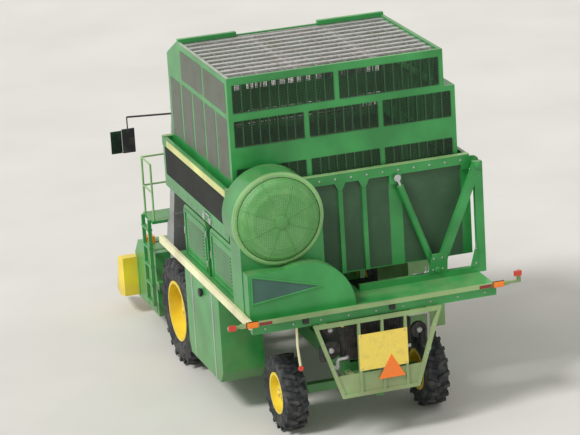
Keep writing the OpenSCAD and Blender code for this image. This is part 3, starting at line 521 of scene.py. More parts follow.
@dataclass(frozen=True)
class PaleConcrete(Finish):
    """Floated concrete floor of the studio: pale and dull, with faint clouds."""

    colour: str = "#dcd9d2"
    ground: Tint = (0.93, 0.0)
    layers: tuple[tuple[Tint, Mask], ...] = (((1.0, 0.0), Mask(Texture(2600, 6), 0.35, 0.7)),)
    roughness: float | Span = 0.85


# The comment over each finish says what it gives the eye.
# The machine's own green: bright, glossy, a little faded, dusty on its ledges.
GREEN = SprayedPaint("sprayed_green_enamel", Slot.GREEN, "#2c8f43")
# Painted shade: the machine's green darkened where the basket shades it, on its floor and the
# doors' louvres, so that they read as recessed.
SHADE_GREEN = SprayedPaint("green_enamel_painted_shade", Slot.GREEN, "#2a6a34")
# Painted shadow: bluish dark green for the cowl's recessed panel, which lies in shade.
TEAL = SprayedPaint("sprayed_enamel_painted_shadow", Slot.GREEN, "#2f5d50", dust=0.3, roughness=0.5)
# Pale sun bleached green of the rails; on the end walls' top strips and the screen's rim it is a
# painted highlight of lit faces.
PALE_GREEN = SprayedPaint("sprayed_pale_green_enamel", Slot.PALE, "#7fb36c", dust=0.5)
# Dusty olive of the guard and the light bar, which stand in the wheels' dirt.
OLIVE = SprayedPaint("sprayed_weathered_enamel", Slot.PALE, "#87a36a", dust=0.55)
# Clear warm yellow that makes the rims stand out from the tyres.
YELLOW = SprayedPaint("sprayed_yellow_enamel", Slot.YELLOW, "#f2cc1c")
# The same yellow bleached to a greenish straw on the basket's stripes.
FADED_YELLOW = SprayedPaint("sprayed_faded_yellow_enamel", Slot.YELLOW, "#d2d37e")
# Cream line along the deck's edge.
CREAM = SprayedPaint("sprayed_cream_enamel", Slot.CREAM, "#e9e2b4", dust=0.4, roughness=0.45)
# Dark cab frame that hardly parts from its windows.
CAB_BLACK = SprayedPaint("sprayed_black_enamel", Slot.CAB, "#26292a", roughness=0.4)
# Painted shade: nearly black wires, which turn a window as dark from afar as the basket's shaded
# inside.
MESH = SprayedPaint("sprayed_wire_enamel_painted_shade", Slot.GREEN, "#171d19", dust=0.1, roughness=0.5)
# Painted shadow: a black sheet behind the doors, seen as the shaded gap between them.
GAP_SHADOW = SprayedPaint(
    "sprayed_black_gap_shadow_enamel", Slot.GREEN, "#16211a", dust=0.1, roughness=0.6
)
# Grey sheet with a faint sparkle on the ducts.
ZINC = GalvanisedSheet("hot_dipped_zinc_sheet", Slot.ZINC)
# Paler zinc of the roof's slats, the brightest surface from above.
SLAT_ZINC = GalvanisedSheet("hot_dipped_pale_slats", Slot.ZINC, "#c8c6c4")
# Grey wires that veil the left side's windows.
ZINC_MESH = GalvanisedSheet("hot_dipped_woven_wire", Slot.ZINC, "#a9ada4")
# Small bright dots of bolt heads and pipes.
BRIGHT_STEEL = GalvanisedSheet("zinc_plated_steel", Slot.ZINC, "#c2c3c4")
# Bluish black tread with grey dust on its lugs.
RUBBER = TyreRubber("moulded_tyre_rubber", Slot.TYRE)
# Black line round each window.
SEAL_RUBBER = SealRubber("extruded_seal_rubber", Slot.PLASTIC)
# Dark oily lumps behind the guard and in the throats.
IRON = CastIron("sand_cast_iron", Slot.DARK)
# Bright line of the rods, with a sharp glint.
CHROME = GroundChrome("ground_hard_chrome", Slot.CHROME)
# Clean mirror that shows the pale studio.
MIRROR_GLASS = GroundChrome("silvered_mirror_glass", Slot.CHROME, "#aeb7bd")
# Dull black of the mirrors' backs and the lamps' bodies.
PLASTIC = MouldedPlastic("moulded_black_polypropylene", Slot.PLASTIC)
# Dark panes, half clear, that show the seat behind.
GLASS = TintedGlass("tinted_float_glass", Slot.GLASS)
# Saturated orange that glows a little, with small prisms.
AMBER = LampLens("moulded_amber_polycarbonate", Slot.AMBER)
# Deep red of the outer lamps and of the marker's reflector, whose faint glow is painted light.
RED = LampLens("moulded_red_polycarbonate", Slot.RED, "#d6402c")
# Darker red of the bar's reflectors, whose faint glow is painted light.
DARK_RED = LampLens("moulded_dark_red_polycarbonate", Slot.RED, "#8a2a22")
# Water clear lens over a bright reflector.
CLEAR_LENS = LampLens("moulded_clear_polycarbonate", Slot.GLASS, "#e9eef0")
# Black leather grain with a soft sheen.
VINYL = SeatVinyl("calendered_seat_vinyl", Slot.VINYL)
# Flat signal orange with a fine honeycomb.
ORANGE = RibbedSheeting("reflective_orange_sheeting", Slot.ORANGE)
# Flat straw yellow of the blank plate.
PLATE_YELLOW = RibbedSheeting("reflective_yellow_sheeting", Slot.YELLOW, "#ecd25a")
# Pale dome whose holes blur to a soft grid.
SCREEN = PunchedScreen("punched_green_screen", Slot.GREEN)
# Painted shade: the punched screen darkened for the sheets between the ribs of the basket's ends,
# which lie in shade, with real lint on it.
SHADED_SCREEN = PunchedScreen(
    "punched_sheet_painted_shade", Slot.GREEN, "#2f5236", layers=(("#3f6140", LINT), ("#16281a", IN_HOLES))
)
# Pale dull floor that takes soft shadows.
CONCRETE = PaleConcrete("floated_pale_concrete", Slot.ZINC)


def circle(radius: float, count: int) -> list[Span]:
    """Returns so many points round a circle, from the first axis towards the second."""
    turns = [2 * math.pi * k / count for k in range(count)]
    return [(radius * math.cos(t), radius * math.sin(t)) for t in turns]


def turned(axis: Axis) -> Matrix:
    """Returns the turn that brings Z onto the axis."""
    return Vector((0, 0, 1)).rotation_difference(Vector(axis.value)).to_matrix()


@dataclass
class Piece:
    """A mesh of several solids that share a finish and ride on one body."""

    name: str
    finish: Finish
    body: Body = Body.CHASSIS
    bevel_mm: float = 0.0
    verts: list[Vector] = field(default_factory=list)
    faces: list[tuple[int, ...]] = field(default_factory=list)

    def add(self, verts: Iterable[Point], faces: Iterable[Sequence[int]]) -> None:
        """Adds a closed solid.

        Args:
            verts: Its points.
            faces: Its faces, by the numbers of their points.
        """
        start = len(self.verts)
        self.verts.extend(Vector(v) for v in verts)
        self.faces.extend(tuple(start + i for i in f) for f in faces)

    def loft(self, back: Sequence[Point], front: Sequence[Point]) -> None:
        """Adds a solid between two outlines with as many corners.

        Args:
            back: First outline, which turns left when seen from the second.
            front: Second outline.
        """
        n = len(back)
        ends = [tuple(reversed(range(n))), tuple(range(n, 2 * n))]
        around = [(i, (i + 1) % n, n + (i + 1) % n, n + i) for i in range(n)]
        self.add([*back, *front], ends + around)

    def block(self, low: Point, high: Point) -> None:
        """Adds a block between the corner with the lowest x, y and z and the opposite one."""
        (x0, y0, z0), (x1, y1, z1) = low, high
        self.loft(*([(x0, y0, z), (x1, y0, z), (x1, y1, z), (x0, y1, z)] for z in (z0, z1)))

    def prism(self, outline: Sequence[Point], run: Point) -> None:
        """Adds a flat outline, which turns left when seen against the run, pushed along it."""
        back = [Vector(p) for p in outline]
        self.loft(back, [p + Vector(run) for p in back])

    def pipe(self, path: Sequence[Point], radius: float, sides: int = 10) -> None:
        """Adds a round bar or a rigid pipe.

        Args:
            path: Points along its middle.
            radius: Radius of the bar.
            sides: How many flats it is made of.
        """
        points = [Vector(p) for p in path]
        normal: Vector | None = None
        verts: list[Vector] = []
        for i, p in enumerate(points):
            ahead = points[min(i + 1, len(points) - 1)] - points[max(i - 1, 0)]
            ahead.normalize()
            if normal is None:
                normal = ahead.orthogonal().normalized()
            else:
                normal = (normal - ahead * normal.dot(ahead)).normalized()
            side = ahead.cross(normal)
            verts += [p + radius * (u * normal + v * side) for u, v in circle(1.0, sides)]
        last = len(verts) - sides
        faces = [tuple(reversed(range(sides)))]
        around = [(k, (k + 1) % sides) for k in range(sides)]
        for a in range(0, last, sides):
            b = a + sides
            faces += [(a + k, a + m, b + m, b + k) for k, m in around]
        faces.append(tuple(range(last, len(verts))))
        self.add(verts, faces)

    def bent_pipe(self, corners: Sequence[Point], radius: float, bend: float) -> None:
        """Adds a rigid pipe with rounded corners.

        Args:
            corners: Its ends, and the corners between them.
            radius: Radius of the pipe.
            bend: Where a bend starts and ends, from its corner.
        """
        path: list[Vector] = [Vector(corners[0])]
        for before, corner, after in zip(corners, corners[1:], corners[2:]):
            c = Vector(corner)
            a = (Vector(before) - c).normalized() * bend
            b = (Vector(after) - c).normalized() * bend
            path += [c + a * (1 - t) ** 2 + b * t**2 for t in (0, 0.25, 0.5, 0.75, 1)]
        path.append(Vector(corners[-1]))
        self.pipe(path, radius)

    def lathe(self, profile: Sequence[Span], centre: Point, axis: Axis, sides: int = 48) -> None:
        """Turns a closed profile round an axis.

        Args:
            profile: Radius and height of each corner.
            centre: Point on the axis where the height is 0.
            axis: Direction in which the height grows.
            sides: How many flats the turned form is made of.
        """
        turn = turned(axis)
        n = len(profile)
        verts = [
            Vector(centre) + turn @ Vector((r * u, r * v, h))
            for u, v in circle(1.0, sides)
            for r, h in profile
        ]
        faces: list[tuple[int, ...]] = []
        for k in range(sides):
            a, b = k * n, (k + 1) % sides * n
            faces += [(a + i, b + i, b + (i + 1) % n, a + (i + 1) % n) for i in range(n)]
        self.add(verts, faces)

    def ring(self, radius: float, thick: float, centre: Point, axis: Axis) -> None:
        """Adds a ring of round section, with its radius taken to the section's middle."""
        self.lathe([(radius + u, v) for u, v in circle(thick / 2, 8)], centre, axis, 64)

    def bolt(self, at: Point, axis: Axis, size: float = 0.012) -> None:
        """Adds a hexagon head on a round washer.

        Args:
            at: Point on the surface that it stands on.
            axis: Direction that it stands out in.
            size: Radius of the head.
        """
        turn = turned(axis)
        washer, head = (size * 1.25, -0.004, size * 0.25, 12), (size, 0.0, size * 0.9, 6)
        for radius, low, high, sides in (washer, head):
            rim = circle(radius, sides)
            self.loft(*([Vector(at) + turn @ Vector((*p, h)) for p in rim] for h in (low, high)))

    def bolt_circle(
        self, centre: Point, axis: Axis, radius: float, count: int, size: float
    ) -> None:
        """Adds bolts on a circle.

        Args:
            centre: Middle of the circle.
            axis: Direction that the bolts stand out in.
            radius: Radius of the circle.
            count: How many bolts.
            size: Radius of a bolt's head.
        """
        turn = turned(axis)
        for u, v in circle(radius, count):
            self.bolt(Vector(centre) + turn @ Vector((u, v, 0)), axis, size)

    def make(self) -> None:
        """Makes the object, gives it its finish and puts it on its body."""
        mesh = bpy.data.meshes.new(self.name)
        mesh.from_pydata(self.verts, [], self.faces)
        mesh.validate()
        mesh.update()
        mesh.polygons.foreach_set("use_smooth", [True] * len(mesh.polygons))
        mesh.set_sharp_from_angle(angle=SHARP_ANGLE)
        mesh.materials.append(self.finish.material())
        made = bpy.data.objects.new(self.name, mesh)
        bpy.context.scene.collection.objects.link(made)
        if self.bevel_mm:
            bevel = made.modifiers.new("edges", "BEVEL")
            bevel.width = self.bevel_mm * MM
            bevel.segments = 2
            bevel.limit_method = "ANGLE"
            bevel.angle_limit = SHARP_ANGLE
        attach(made, self.body.value)
        LOG.info("%s: %d faces on %s", self.name, len(self.faces), self.body.value)


@dataclass(frozen=True)
class Row:
    """Equal blocks across the machine: their ends along it and in height, width and places."""

    x: Span
    z: Span
    width: float
    ys: tuple[float, ...]

    def fill(self, piece: Piece) -> None:
        """Adds the blocks to a piece."""
        for y in self.ys:
            piece.block((self.x[0], y, self.z[0]), (self.x[1], y + self.width, self.z[1]))


@dataclass
class Bodywork:
    """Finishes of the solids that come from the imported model."""

    coats: dict[Finish, str] = field(
        default_factory=lambda: {
            GREEN: "main_frame front_axle rear_axle deck left_tank screen_housing lower_cowl "
            "side_panels support_frames cab_roof platform cab_door knuckle_left knuckle_right "
            "tie_rod lower_links upper_links head_frame picking_units upper_walls dump_barrels "
            "basket_walls",
            # The basket floor's darker green is painted shade.
            SHADE_GREEN: "basket_floor",
            PALE_GREEN: "right_panel handrails",
            OLIVE: "light_bar rear_guard",
            YELLOW: "drive_rim_left drive_rim_right steer_rim_left steer_rim_right row_dividers",
            FADED_YELLOW: "basket_stripe",
            PLATE_YELLOW: "yellow_plate",
            CREAM: "side_rail",
            CAB_BLACK: "cab_shell",
            ZINC: "duct_boots upper_ducts lower_ducts",
            SLAT_ZINC: "roof_grille",
            RUBBER: "drive_tyre_left drive_tyre_right steer_tyre_left steer_tyre_right",
            IRON: "engine_block",
            CHROME: "dump_rods",
            PLASTIC: "mirrors beacon cab_column",
            VINYL: "cab_seat",
            GLASS: "cab_glass door_glass",
            AMBER: "amber_lamps",
            RED: "red_lamps",
            ORANGE: "slow_sign",
            SCREEN: "rotary_screen",
        }
    )

    def build(self) -> None:
        """Gives each node its finish."""
        for finish, names in self.coats.items():
            for name in names.split():
                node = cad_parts[name]
                node.data.materials.clear()
                node.data.materials.append(finish.material())
            LOG.info("%s on %s", finish.name, names)


@dataclass
class Wheel:
    """Rings on both sides of a wheel's tyre, and the nuts and hub cap on its outer side."""

    body: Body
    centre: Point
    side: Side
    tread_radius: float
    width: float
    bead_radius: float
    hub_radius: float
    nuts: int
    lug: float = 0.038
    dish: float = 0.060
    # Place on the sidewall, as a share of its height, and thickness of each moulded ring.
    rings: tuple[Span, ...] = ((0.40, 0.012), (0.53, 0.008), (0.66, 0.014))
    nut_size: float = 0.016
    cap_bolts: int = 6
    cap_bolt_size: float = 0.011

    def out(self, distance: float) -> Point:
        """Returns a point on the wheel's axis, so far out from its middle."""
        x, y, z = self.centre
        return (x, y + self.side.value * distance, z)

    def build(self) -> None:
        """Builds the wheel's pieces."""
        outward = self.side.outward
        wall = self.tread_radius - self.lug - self.bead_radius
        rings = Piece(f"{self.body.value}_sidewall_rings", RUBBER, self.body)
        for face in (1, -1):
            at = self.out(face * self.width / 2)
            for share, thick in self.rings:
                rings.ring(self.bead_radius + share * wall, thick, at, outward)
        rings.make()
        nuts = Piece(f"{self.body.value}_nuts", BRIGHT_STEEL, self.body)
        disc, hub_face = self.out(self.dish + 0.012), self.out(self.dish + 0.060)
        disc_r, face_r = self.hub_radius + 0.045, self.hub_radius * 0.62
        nuts.bolt_circle(disc, outward, disc_r, self.nuts, self.nut_size)
        nuts.bolt_circle(hub_face, outward, face_r, self.cap_bolts, self.cap_bolt_size)
        nuts.make()
        cap = Piece(f"{self.body.value}_hub_cap", YELLOW, self.body)
        r = self.hub_radius * 0.42
        profile = [(0.0, 0.0), (r, 0.0), (r, 0.018), (r * 0.8, 0.030), (0.0, 0.034)]
        cap.lathe(profile, self.out(self.dish + 0.059), outward, 32)
        cap.make()


@dataclass
class Basket:
    """Mesh in the windows, ties and edges of the roof, end sheets, gussets, bolts and latches."""

    x: Span = (-3.20, 0.25)
    half_width: float = 2.0
    upper_x: Span = (-3.11, 0.16)
    upper_y: float = 1.85
    # Windows: how far the mesh stands proud, its pitch, the wire's radius, and the post between
    # two. Real wire is 2 mm thick at 10 mm, drawn 8 mm thick at 24 mm so that it shows.
    proud: float = 0.003
    pitch: float = 0.024
    wire: float = 0.004
    post: float = 0.09
    lap: float = 0.01
    right_z: Span = (2.86, 3.95)
    left_z: Span = (3.47, 3.94)
    side_z: Span = (4.17, 5.13)
    crown_z: Span = (5.22, 5.70)
    end_rows_z: tuple[Span, ...] = ((4.075, 4.36), (4.69, 5.12))
    rear_crown_z: Span = (5.23, 5.69)
    step: float = 0.18
    # Roof: height of the ties, where the slope starts, and the tie's lower end as x and z.
    tie_z: float = 5.775
    ridge_x: float = -0.45
    slope_end: Span = (0.09, 5.475)
    ties: int = 13
    tie_pitch: float = 0.24
    first_tie_y: float = -1.34
    # The bar at the slope's head stands high but for a gap, where it is low and thin.
    bar_x: Span = (-0.52, -0.44)
    bar_gap: Span = (-0.52, 0.86)
    bar_top: float = 5.85
    gap_top: float = 5.80
    edge_z: Span = (5.799, 5.812)
    # Lower end walls: bays between the ribs, and their height.
    bays: tuple[Span, ...] = ((-1.84, -0.86), (-0.64, -0.27), (-0.18, 0.12), (0.21, 0.55))
    bay_z: Span = (2.47, 3.92)
    rib_ys: Span = (-0.225, 0.165)
    # Outline of a gusset, as a distance across from its rib and a height.
    gusset: tuple[Span, ...] = ((-0.09, 3.932), (0.09, 3.932), (0.03, 3.80), (-0.03, 3.80))
    # Rows of bolts: how many in a side wall's and an end wall's, and the rows' heights.
    side_bolts: int = 12
    end_bolts: int = 15
    bolt_pitch: float = 0.26
    bolt_size: float = 0.013
    right_bolt_z: float = 2.52
    left_bolt_z: float = 3.32
    end_bolt_z: float = 4.005
    knob_z: float = 4.02
    rim_z: Span = (4.079, 4.092)
    latch_xs: Span = (-2.30, -1.98)
    latch_z: Span = (3.27, 3.37)
    latch_bar_z: float = 3.40

    def mesh(
        self, piece: Piece, along: Axis, at: float, span: Span, z: Span, count: int = 1
    ) -> None:
        """Fills a row of windows with square mesh and leaves the posts between them bare.

        Args:
            piece: Piece that takes the wires.
            along: Axis.X for a side wall, Axis.Y for an end wall.
            at: Place of the mesh across the wall.
            span: Where the first window starts and the last one ends.
            z: Lowest and highest edge.
            count: Number of windows.
        """
        width = (span[1] - span[0] - (count - 1) * self.post) / count
        for i in range(count):
            first = span[0] + i * (width + self.post)
            a, b = first - self.lap, first + width + self.lap
            columns = round((b - a) / self.pitch)
            rows = round((z[1] - z[0]) / self.pitch)
            upright = [a + (b - a) * k / columns for k in range(1, columns)]
            level = [z[0] + (z[1] - z[0]) * k / rows for k in range(1, rows)]
            wires = [((s, z[0]), (s, z[1])) for s in upright] + [((a, h), (b, h)) for h in level]
            for ends in wires:
                path = [(s, at, h) if along is Axis.X else (at, s, h) for s, h in ends]
                piece.pipe(path, self.wire, 4)

    def build(self) -> None:
        """Builds the basket's pieces."""
        self.build_mesh()
        self.build_roof()
        self.build_sheets()
        self.build_bolts()
        self.build_rims()
        self.build_latches()

    def build_mesh(self) -> None:
        """Builds the wire mesh in the windows; the dark wires paint the shade of the basket's
        inside.
        """
        inner = (self.x[0] + 0.11, self.x[1] - 0.11)
        side = (self.upper_x[0] + 0.12, self.upper_x[1] - 0.12)
        crown = (side[0], self.upper_x[1] - 0.78)
        ends = (-self.upper_y + 0.08, self.upper_y - 0.08)
        # The dark wires here and in the upper windows are painted shade of the basket's inside.
        low = Piece("lower_window_mesh", MESH, Body.BASKET)
        self.mesh(low, Axis.X, -self.half_width + 0.03, inner, self.right_z)
        self.mesh(low, Axis.X, self.half_width + self.proud, inner, self.left_z)
        low.make()
        high = Piece("upper_window_mesh", MESH, Body.BASKET_TOP)
        stepped_in = -self.upper_y + self.step - self.proud
        self.mesh(high, Axis.X, stepped_in, crown, self.crown_z, 2)
        self.mesh(high, Axis.X, -self.upper_y - self.proud, side, self.side_z, 5)
        rear, front = self.upper_x[0] - self.proud, self.upper_x[1] + self.proud
        for x in (rear, front):
            for z in self.end_rows_z:
                self.mesh(high, Axis.Y, x, ends, z, 3)
        self.mesh(high, Axis.Y, rear, (ends[0] + self.step, ends[1]), self.rear_crown_z, 2)
        high.make()
        left = Piece("left_window_mesh", ZINC_MESH, Body.BASKET_TOP)
        self.mesh(left, Axis.X, self.upper_y + self.proud, side, self.side_z, 5)
        self.mesh(left, Axis.X, self.upper_y + self.proud, crown, self.crown_z, 2)
        left.make()

    def build_roof(self) -> None:
        """Builds the wires that tie the slats, the bar at the slope's head and an edge strip."""
        wires = Piece("roof_wires", SLAT_ZINC, Body.BASKET_TOP)
        foot_x, foot_z = self.slope_end
        for i in range(self.ties):
            y = self.first_tie_y + i * self.tie_pitch
            ridge = (self.ridge_x, y, self.tie_z)
            wires.pipe([(self.upper_x[0] + 0.07, y, self.tie_z), ridge], self.wire, 4)
            wires.pipe([ridge, (foot_x, y, foot_z)], self.wire, 4)
        wires.make()
        bar = Piece("roof_front_bar", GREEN, Body.BASKET_TOP, bevel_mm=6)
        (x0, x1), (right, left), under = self.bar_x, self.bar_gap, self.tie_z - 0.003
        for y0, y1 in ((-self.upper_y + 0.19, right), (left, self.upper_y - 0.01)):
            bar.block((x0, y0, under), (x1, y1, self.bar_top))
        bar.block((x0 + 0.02, right - 0.01, under), (x1 - 0.02, left + 0.01, self.gap_top))
        bar.make()
        edge = Piece("roof_edge_strip", SLAT_ZINC, Body.BASKET_TOP, bevel_mm=2)
        low, high = self.edge_z
        start, end = self.upper_y - 0.035, self.upper_y - 0.002
        edge.block((self.upper_x[0], start, low), (x0, end, high))
        edge.make()

    def build_sheets(self) -> None:
        """Builds the punched sheets between the end walls' ribs, dark with painted shade, and the
        ribs' gussets.
        """
        rear, front = self.x
        # The sheets' dark green is painted shade.
        sheets = Piece("end_wall_sheets", SHADED_SCREEN, Body.BASKET)
        for x0, x1 in ((rear - 0.004, rear + 0.001), (front - 0.001, front + 0.004)):
            for y0, y1 in self.bays:
                sheets.block((x0, y0, self.bay_z[0]), (x1, y1, self.bay_z[1]))
        sheets.make()
        gussets = Piece("basket_gussets", GREEN, Body.BASKET, bevel_mm=3)
        for x in (rear - 0.044, front + 0.036):
            for y in self.rib_ys:
                corners = [(x, y + across, z) for across, z in self.gusset]
                gussets.prism(corners, (0.008, 0, 0))
        gussets.make()

    def build_bolts(self) -> None:
        """Builds the rows of bolts along the walls' edges."""
        bolts = Piece("basket_bolts", BRIGHT_STEEL, Body.BASKET)
        (rear, front), size = self.x, self.bolt_size
        for k in range(self.side_bolts):
            x = rear + 0.18 + k * self.bolt_pitch
            bolts.bolt((x, -self.half_width, self.right_bolt_z), Axis.RIGHT, size)
            bolts.bolt((x, self.half_width, self.left_bolt_z), Axis.Y, size)
        for k in range(self.end_bolts):
            y = self.half_width - 0.2 - k * self.bolt_pitch
            bolts.bolt((rear - 0.04, y, self.end_bolt_z), Axis.BACK, size)
            bolts.bolt((front + 0.04, y, self.end_bolt_z), Axis.X, size)
        bolts.make()

    def build_rims(self) -> None:
        """Builds the end walls' pale rims, a painted highlight of their top flanges lit by the
        sky, and the knobs at their left ends.
        """
        (rear, front), width = self.x, self.half_width
        knobs = Piece("wall_end_knobs", CREAM, Body.BASKET)
        profile = [(0.0, -0.002), (0.045, -0.002), (0.052, 0.02), (0.040, 0.045), (0.0, 0.055)]
        for x, axis in ((rear, Axis.BACK), (front, Axis.X)):
            at = (x + axis.value[0] * 0.04, width - 0.06, self.knob_z)
            knobs.lathe(profile, at, axis, 32)
        knobs.make()
        # The rims' pale green is a painted highlight.
        rims = Piece("end_wall_rims", PALE_GREEN, Body.BASKET, bevel_mm=3)
        low, high = self.rim_z
        for x0, x1 in ((rear - 0.044, rear + 0.055), (front - 0.055, front + 0.044)):
            rims.block((x0, -width + 0.005, low), (x1, width - 0.005, high))
        rims.make()

    def build_latches(self) -> None:
        """Builds the two latches on the left wall and the bar that joins them."""
        latch = Piece("wall_latches", BRIGHT_STEEL, Body.BASKET, bevel_mm=3)
        face, (low, high) = self.half_width, self.latch_z
        for x in self.latch_xs:
            latch.block((x, face - 0.002, low), (x + 0.10, face + 0.022, high))
        bar = [(x + 0.05, face + 0.016, self.latch_bar_z) for x in self.latch_xs]
        latch.pipe(bar, 0.012, 8)
        latch.make()


@dataclass
class RotaryScreen:
    """Ring, spokes and hub of the dust screen, and the slanted panel of painted shadow on the cowl
    below it.
    """

    centre: Point = (-3.77, 1.38, 3.70)
    radius: float = 0.72
    spokes: int = 8
    bolts: int = 18
    # Distance from the middle, and how far the dome stands out there.
    dome: tuple[Span, ...] = ((0.655, 0.075), (0.59, 0.152), (0.44, 0.203), (0.10, 0.216))
    cowl_x: float = -4.02
    # Corners of the slanted panel, as y and z.
    panel: tuple[Span, ...] = ((1.93, 2.47), (1.93, 2.91), (0.80, 2.60))

    def build(self) -> None:
        """Builds the screen's pieces."""
        x, y, z = self.centre
        # The rim's pale green is a painted highlight of its lit edge.
        rim = Piece("screen_rim", PALE_GREEN, bevel_mm=3)
        inner, outer, crest = self.radius - 0.055, self.radius + 0.012, self.radius - 0.02
        seat, shoulder, top = 0.002, 0.05, 0.075
        profile = [(inner, seat), (outer, seat), (outer, shoulder), (crest, top), (inner, top)]
        rim.lathe(profile, self.centre, Axis.BACK, 72)
        rim.make()
        spokes = Piece("screen_spokes", SCREEN)
        for u, v in circle(1.0, 2 * self.spokes)[1::2]:
            path = [Vector((x - h, y, z)) + Vector((0, u, v)) * r for r, h in self.dome]
            spokes.pipe(path, 0.006, 6)
        hub = [(0.0, 0.0), (0.10, 0.0), (0.10, 0.02), (0.04, 0.032), (0.0, 0.032)]
        spokes.lathe(hub, (x - 0.212, y, z), Axis.BACK, 32)
        spokes.make()
        bolts = Piece("screen_bolts", BRIGHT_STEEL)
        at, circle_r = (x - 0.074, y, z), self.radius - 0.037
        bolts.bolt_circle(at, Axis.BACK, circle_r, self.bolts, 0.010)
        bolts.make()
        self.build_cowl()

    def build_cowl(self) -> None:
        """Builds the slanted panel in the cowl's face, dark with painted shadow, with the raised
        rim round it.
        """
        corners = [(self.cowl_x - 0.004, y, z) for y, z in self.panel]
        # The panel's dark bluish green is painted shadow.
        panel = Piece("cowl_panel", TEAL)
        panel.prism(corners, (0.005, 0, 0))
        panel.make()
        rim = Piece("cowl_panel_rim", GREEN)
        for a, b in zip(corners, corners[1:] + corners[:1]):
            rim.pipe([a, b], 0.014, 8)
        rim.make()


@dataclass
class LeftSide:
    """Frames, louvres and handles of the side doors, and the straps and filler of the tank."""

    doors: tuple[Span, Span] = ((-3.10, -1.80), (-1.65, -0.35))
    frame_z: float = 2.26
    door_top: float = 3.10
    face: float = 1.90
    louvres: int = 9
    louvre_z: float = 2.42
    louvre_pitch: float = 0.055
    hinge_z: float = 2.36
    catch_z: Span = (2.58, 2.70)
    gap_shadow_y: Span = (1.800, 1.838)
    gap_shadow_z: Span = (2.199, 3.06)
    tank_x: Span = (-2.20, -0.35)
    tank_face: float = 1.95
    strap_z: Span = (0.56, 2.12)
    filler_z: float = 1.85

    def build(self) -> None:
        """Builds the left side's pieces."""
        self.build_doors()
        self.build_tank()

    def build_doors(self) -> None:
        """Builds what stands on the side doors, and a black sheet behind them that paints the
        shadow in the gaps.
        """
        trim = Piece("side_door_frames", GREEN, bevel_mm=4)
        # The louvres' darker green is painted shade.
        slats = Piece("side_door_louvres", SHADE_GREEN, bevel_mm=2)
        metal = Piece("side_door_handles", BRIGHT_STEEL, bevel_mm=2)
        seat, proud, top = self.face - 0.002, self.face + 0.014, self.door_top
        for a, b in self.doors:
            for z in (self.frame_z, top - 0.12):
                trim.block((a + 0.10, seat, z), (b - 0.10, proud, z + 0.035))
            for x in (a + 0.08, b - 0.115):
                trim.block((x, seat, self.frame_z), (x + 0.035, proud, top - 0.085))
            for k in range(self.louvres):
                x, z = a + 0.22, self.louvre_z + k * self.louvre_pitch
                section = [(x, seat, z), (x, seat, z + 0.035), (x, self.face + 0.016, z)]
                slats.prism(section, (b - a - 0.44, 0, 0))
            for z in (self.hinge_z, top - 0.24):
                x, y = a + 0.03, self.face + 0.010
                metal.pipe([(x, y, z), (x, y, z + 0.11)], 0.012)
            low, high = self.catch_z
            metal.block((b - 0.075, self.face, low), (b - 0.035, self.face + 0.022, high))
        trim.make()
        slats.make()
        metal.make()
        # A black sheet as painted shadow in the gaps between the doors.
        gap_shadow = Piece("side_door_gap_shadow", GAP_SHADOW, bevel_mm=2)
        start, end = self.doors[0][0] + 0.02, self.doors[-1][1] - 0.02
        (y0, y1), (z0, z1) = self.gap_shadow_y, self.gap_shadow_z
        gap_shadow.block((start, y0, z0), (end, y1, z1))
        gap_shadow.make()

    def build_tank(self) -> None:
        """Builds the tank's straps and its filler."""
        straps = Piece("tank_straps", BRIGHT_STEEL, bevel_mm=1)
        low, high = self.strap_z
        outer = self.tank_face + 0.006
        for x in (self.tank_x[0] + 0.35, self.tank_x[1] - 0.40):
            straps.block((x, self.tank_face - 0.001, low), (x + 0.05, outer, high))
            straps.bolt((x + 0.025, outer, high - 0.10), Axis.Y)
        straps.make()
        cap = Piece("tank_filler", PLASTIC)
        profile = [
            (0.0, 0.0), (0.055, 0.0), (0.055, 0.02), (0.07, 0.022), (0.07, 0.055), (0.0, 0.06)
        ]
        cap.lathe(profile, (self.tank_x[0] + 0.9, self.tank_face, self.filler_z), Axis.Y, 24)
        cap.make()


